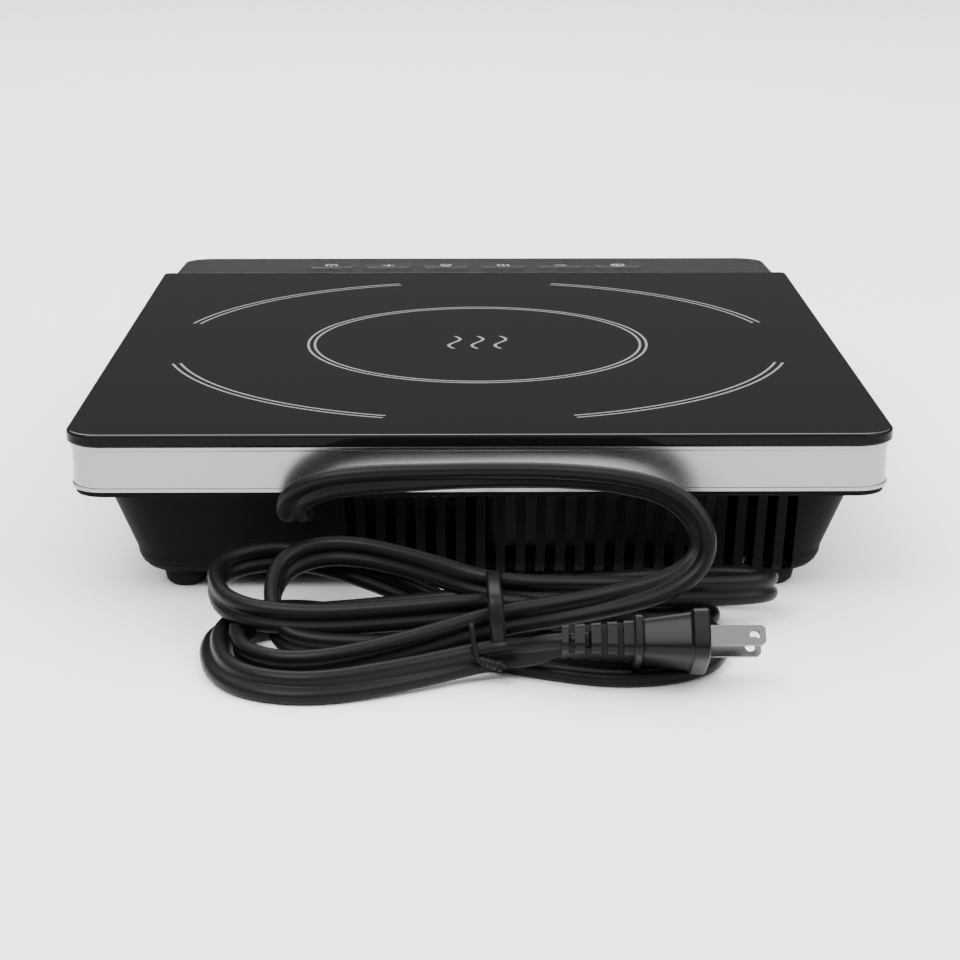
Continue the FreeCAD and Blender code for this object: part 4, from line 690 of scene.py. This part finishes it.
def makeDigits():
    # four seven-bar digits and a colon, all bars present as on an unlit display
    w, h, gap = digit["width"] / 2, digit["height"] / 2, digit["gap"]
    bars = [
        ((-w + gap, h), (w - gap, h)), ((-w + gap, 0), (w - gap, 0)), ((-w + gap, -h), (w - gap, -h)),
        ((-w, gap), (-w, h - gap)), ((w, gap), (w, h - gap)),
        ((-w, -h + gap), (-w, -gap)), ((w, -h + gap), (w, -gap)),
    ]
    strokes = []
    for place in (-1.5, -0.5, 0.5, 1.5):
        for start, stop in bars:
            strokes.append([(x + digit["slant"] * y + place * digit["pitch"], y) for x, y in (start, stop)])
    for y in (-2.2, 2.2):
        strokes.append([(-0.4, y), (0.6, y)])
    middle, up = topOf("led_display")
    piece = addMesh("display_digits", *strokePoints(strokes, digit["bar"], middle, up), smooth=False)
    return piece


markPieces = makeMarks()
digits = makeDigits()
print("marks and digits are made")


# Finishes

def ceramicGlass():
    # polished black glass with pale printed rings round the cooking zone
    printed = {
        "centre": (0, 0.0397),
        "inner": ((0.0635, 0.0009), (0.0660, 0.0009)),
        "outer": ((0.1173, 0.0009), (0.1202, 0.0009)),
        "arcFrom": 17,
        "arcTo": 74,
        "soft": 0.0002,
        "grey": 0.21,
    }
    paint = Paint("ceramicGlass", 0.004, 0.07, {"Specular IOR Level": 0.06, "Coat Roughness": 0.06})
    x, y, z = paint.axes()
    x = x - printed["centre"][0]
    y = y - printed["centre"][1]
    radius = (x * x + y * y) ** 0.5
    quadrant = abs(y).apply("ARCTAN2", abs(x))

    def ring(size, width):
        return ((width / 2 - abs(radius - size)) / printed["soft"] + 0.5).clamped()

    inArc = ((quadrant - math.radians(printed["arcFrom"])) * 300).clamped()
    inArc = inArc * ((math.radians(printed["arcTo"]) - quadrant) * 300).clamped()
    inner = sum(ring(*size) for size in printed["inner"])
    outer = sum(ring(*size) for size in printed["outer"]) * inArc
    # three short heat waves in the middle stand for the cooking zone
    swing = (y * 285).apply("SINE") * 0.0022
    waves = 0
    for place in (-0.009, 0, 0.009):
        waves = waves + ((0.0006 - abs(x - place - swing)) / printed["soft"] + 0.5).clamped()
    waves = waves * ((0.011 - abs(y)) / printed["soft"]).clamped()
    onTop = ((z - 0.0628) * 20000).clamped()
    mask = (inner + outer + waves).clamped() * onTop
    paint.give("Base Color", paint.mix(mask, 0.004, printed["grey"]))
    paint.give("Roughness", 0.07 + mask * 0.3)
    paint.give("Coat Weight", onTop * 0.63)  # the ground edge of the plate stays darker
    return paint


def satinBand():
    # fine grain that runs along the band
    paint = Paint("satinBand", 0.29, 0.22, {"Metallic": 0.95})
    grain = paint.noise(900, 2, (0.02, 0.02, 6))
    paint.give("Roughness", 0.2 + grain * 0.08)
    paint.bump(grain, 0.05, 0.00002)
    return paint


def glossPanel():
    gloss = {"Coat Weight": 0.04, "Coat Roughness": 0.05, "Specular IOR Level": 0.4}
    paint = Paint("glossPanel", 0.008, 0.16, gloss)
    haze = paint.noise(60, 3)
    paint.give("Roughness", 0.13 + haze * 0.08)
    return paint


def circuitBoard():
    # green lacquer with lighter copper tracks under it
    paint = Paint("circuitBoard", (0.02, 0.12, 0.05), 0.38)
    x, y, _ = paint.axes()
    lanes = ((x * 1400).apply("SINE") * (y * 900).apply("SINE") * 8 - 4).clamped()
    paint.give("Base Color", paint.mix(lanes, (0.02, 0.12, 0.05), (0.06, 0.22, 0.09)))
    return paint


def copperWinding():
    # lacquered turns as close rings, with painted shade in the grooves between turns and a painted highlight
    # on their crowns
    paint = Paint("copperWinding", (0.5, 0.2, 0.08), 0.35, {"Metallic": 0.9})
    x, y, _ = paint.axes()
    y = y - 0.0383
    turns = ((x * x + y * y) ** 0.5 * 2400).apply("SINE")
    paint.give("Base Color", paint.mix(turns * 0.5 + 0.5, (0.3, 0.1, 0.04), (0.62, 0.27, 0.11)))
    paint.bump(turns, 0.5, 0.0003)
    return paint


def ribbonGrooveShade():
    # grey ribbon with painted shade in the grooves between the wires and a painted highlight on their ridges
    paint = Paint("ribbonGrooveShade", 0.35, 0.5)
    x, _, _ = paint.axes()
    wires = (x * 4947).apply("SINE") * 0.5 + 0.5
    paint.give("Base Color", paint.mix(wires, 0.22, 0.5))
    paint.bump(wires, 0.4, 0.0002)
    return paint


def turnedMetal(name, shade, roughness, grain):
    paint = Paint(name, shade, roughness, {"Metallic": 1.0})
    streaks = paint.noise(grain, 2, (1, 1, 0.1))
    paint.give("Roughness", roughness + (streaks - 0.5) * 0.12)
    return paint


blackPlastic = speckled("blackPlastic", 0.0048, 0.55, 2600, 0.00006, {"Specular IOR Level": 0.035})
cordPaint = speckled("cordPvc", 0.0045, 0.38, 2400, 0.00004, {"Specular IOR Level": 0.1})
plugPaint = speckled("plugPvc", 0.004, 0.3, 1500, 0.00003, {"Specular IOR Level": 0.12})
keyPaint = speckled("keyGloss", 0.016, 0.14, 700, 0.00001, {"Coat Weight": 0.3})
footPaint = speckled("footRubber", 0.007, 0.7, 1500, 0.00006, {"Specular IOR Level": 0.1})
componentPaint = speckled("componentBlack", 0.03, 0.45, 1200, 0.00004)
screwPaint = turnedMetal("screwSteel", 0.55, 0.3, 1200)
boardPaint = circuitBoard()
window = Paint("smokedWindow", 0.01, 0.08, {"Alpha": 0.55})
windowHaze = window.noise(40)
window.give("Roughness", 0.06 + windowHaze * 0.04)

finishes = {
    "glass_top": ceramicGlass(),
    "trim_band": satinBand(),
    "upper_frame": blackPlastic,
    "bottom_housing": blackPlastic,
    "control_fascia": glossPanel(),
    "display_window": window,
    "glass_seal": speckled("silicone", 0.35, 0.6, 800, 0.00003),
    "cord_bush": speckled("bushPvc", 0.0035, 0.5, 1800, 0.00004, {"Specular IOR Level": 0.06}),
    "cord_clamp": componentPaint,
    "plug_strain_relief": plugPaint,
    "plug_blades": turnedMetal("bladeNickel", 0.11, 0.24, 700),
    "fan_shaft": turnedMetal("shaftSteel", 0.6, 0.2, 900),
    "fan_bearing": turnedMetal("bearingBrass", (0.62, 0.45, 0.18), 0.32, 900),
    "heat_sink": turnedMetal("sinkAluminium", 0.62, 0.38, 500),
    "coil_former": speckled("formerNylon", 0.08, 0.6, 900, 0.00005),
    "coil_winding": copperWinding(),
    "coil_leads": speckled("leadSleeve", 0.5, 0.6, 1500, 0.00005),
    "inner_cord": cordPaint,
    "ferrite_bars": speckled("ferrite", 0.06, 0.7, 1600, 0.00006),
    "mica_sheet": speckled("mica", (0.42, 0.36, 0.26), 0.4, 300, 0.00003),
    "line_fuse": speckled("fuseCeramic", 0.6, 0.4, 900, 0.00002),
    "ribbon_cable": ribbonGrooveShade(),
    "resonant_capacitor": speckled("capacitorCase", (0.30, 0.04, 0.03), 0.4, 700, 0.00003),
    "filter_capacitor": speckled("capacitorCase2", (0.30, 0.04, 0.03), 0.4, 700, 0.00003),
    "supply_choke": copperWinding(),
    "led_display": speckled("displayFace", 0.02, 0.3, 600, 0.00002),
    "indicator_leds": Paint("lampLens", (0.45, 0.03, 0.02), 0.15, {"Coat Weight": 0.6}),
    "control_board": boardPaint,
    "power_board": boardPaint,
}


def finishFor(name):
    if name in finishes:
        return finishes[name]
    if name.startswith("foot_") and name != "foot_screws":
        return footPaint
    if name.startswith("key_"):
        return keyPaint
    if name.endswith("screws"):
        return screwPaint
    return componentPaint


for name, node in nodes.items():
    cover(node, finishFor(name))
cover(cordPiece, cordPaint)
cover(plugShell, plugPaint)
tiePaint = speckled("tiePlastic", 0.005, 0.36, 1800, 0.00003, {"Specular IOR Level": 0.1})
for piece in tiePieces:
    cover(piece, tiePaint)
markPaint = speckled("markInk", marks["grey"], 0.5, 900, 0.00001)
for piece in markPieces:
    cover(piece, markPaint)
cover(digits, speckled("unlitBars", 0.09, 0.4, 900, 0.00001))
print("finishes are on")
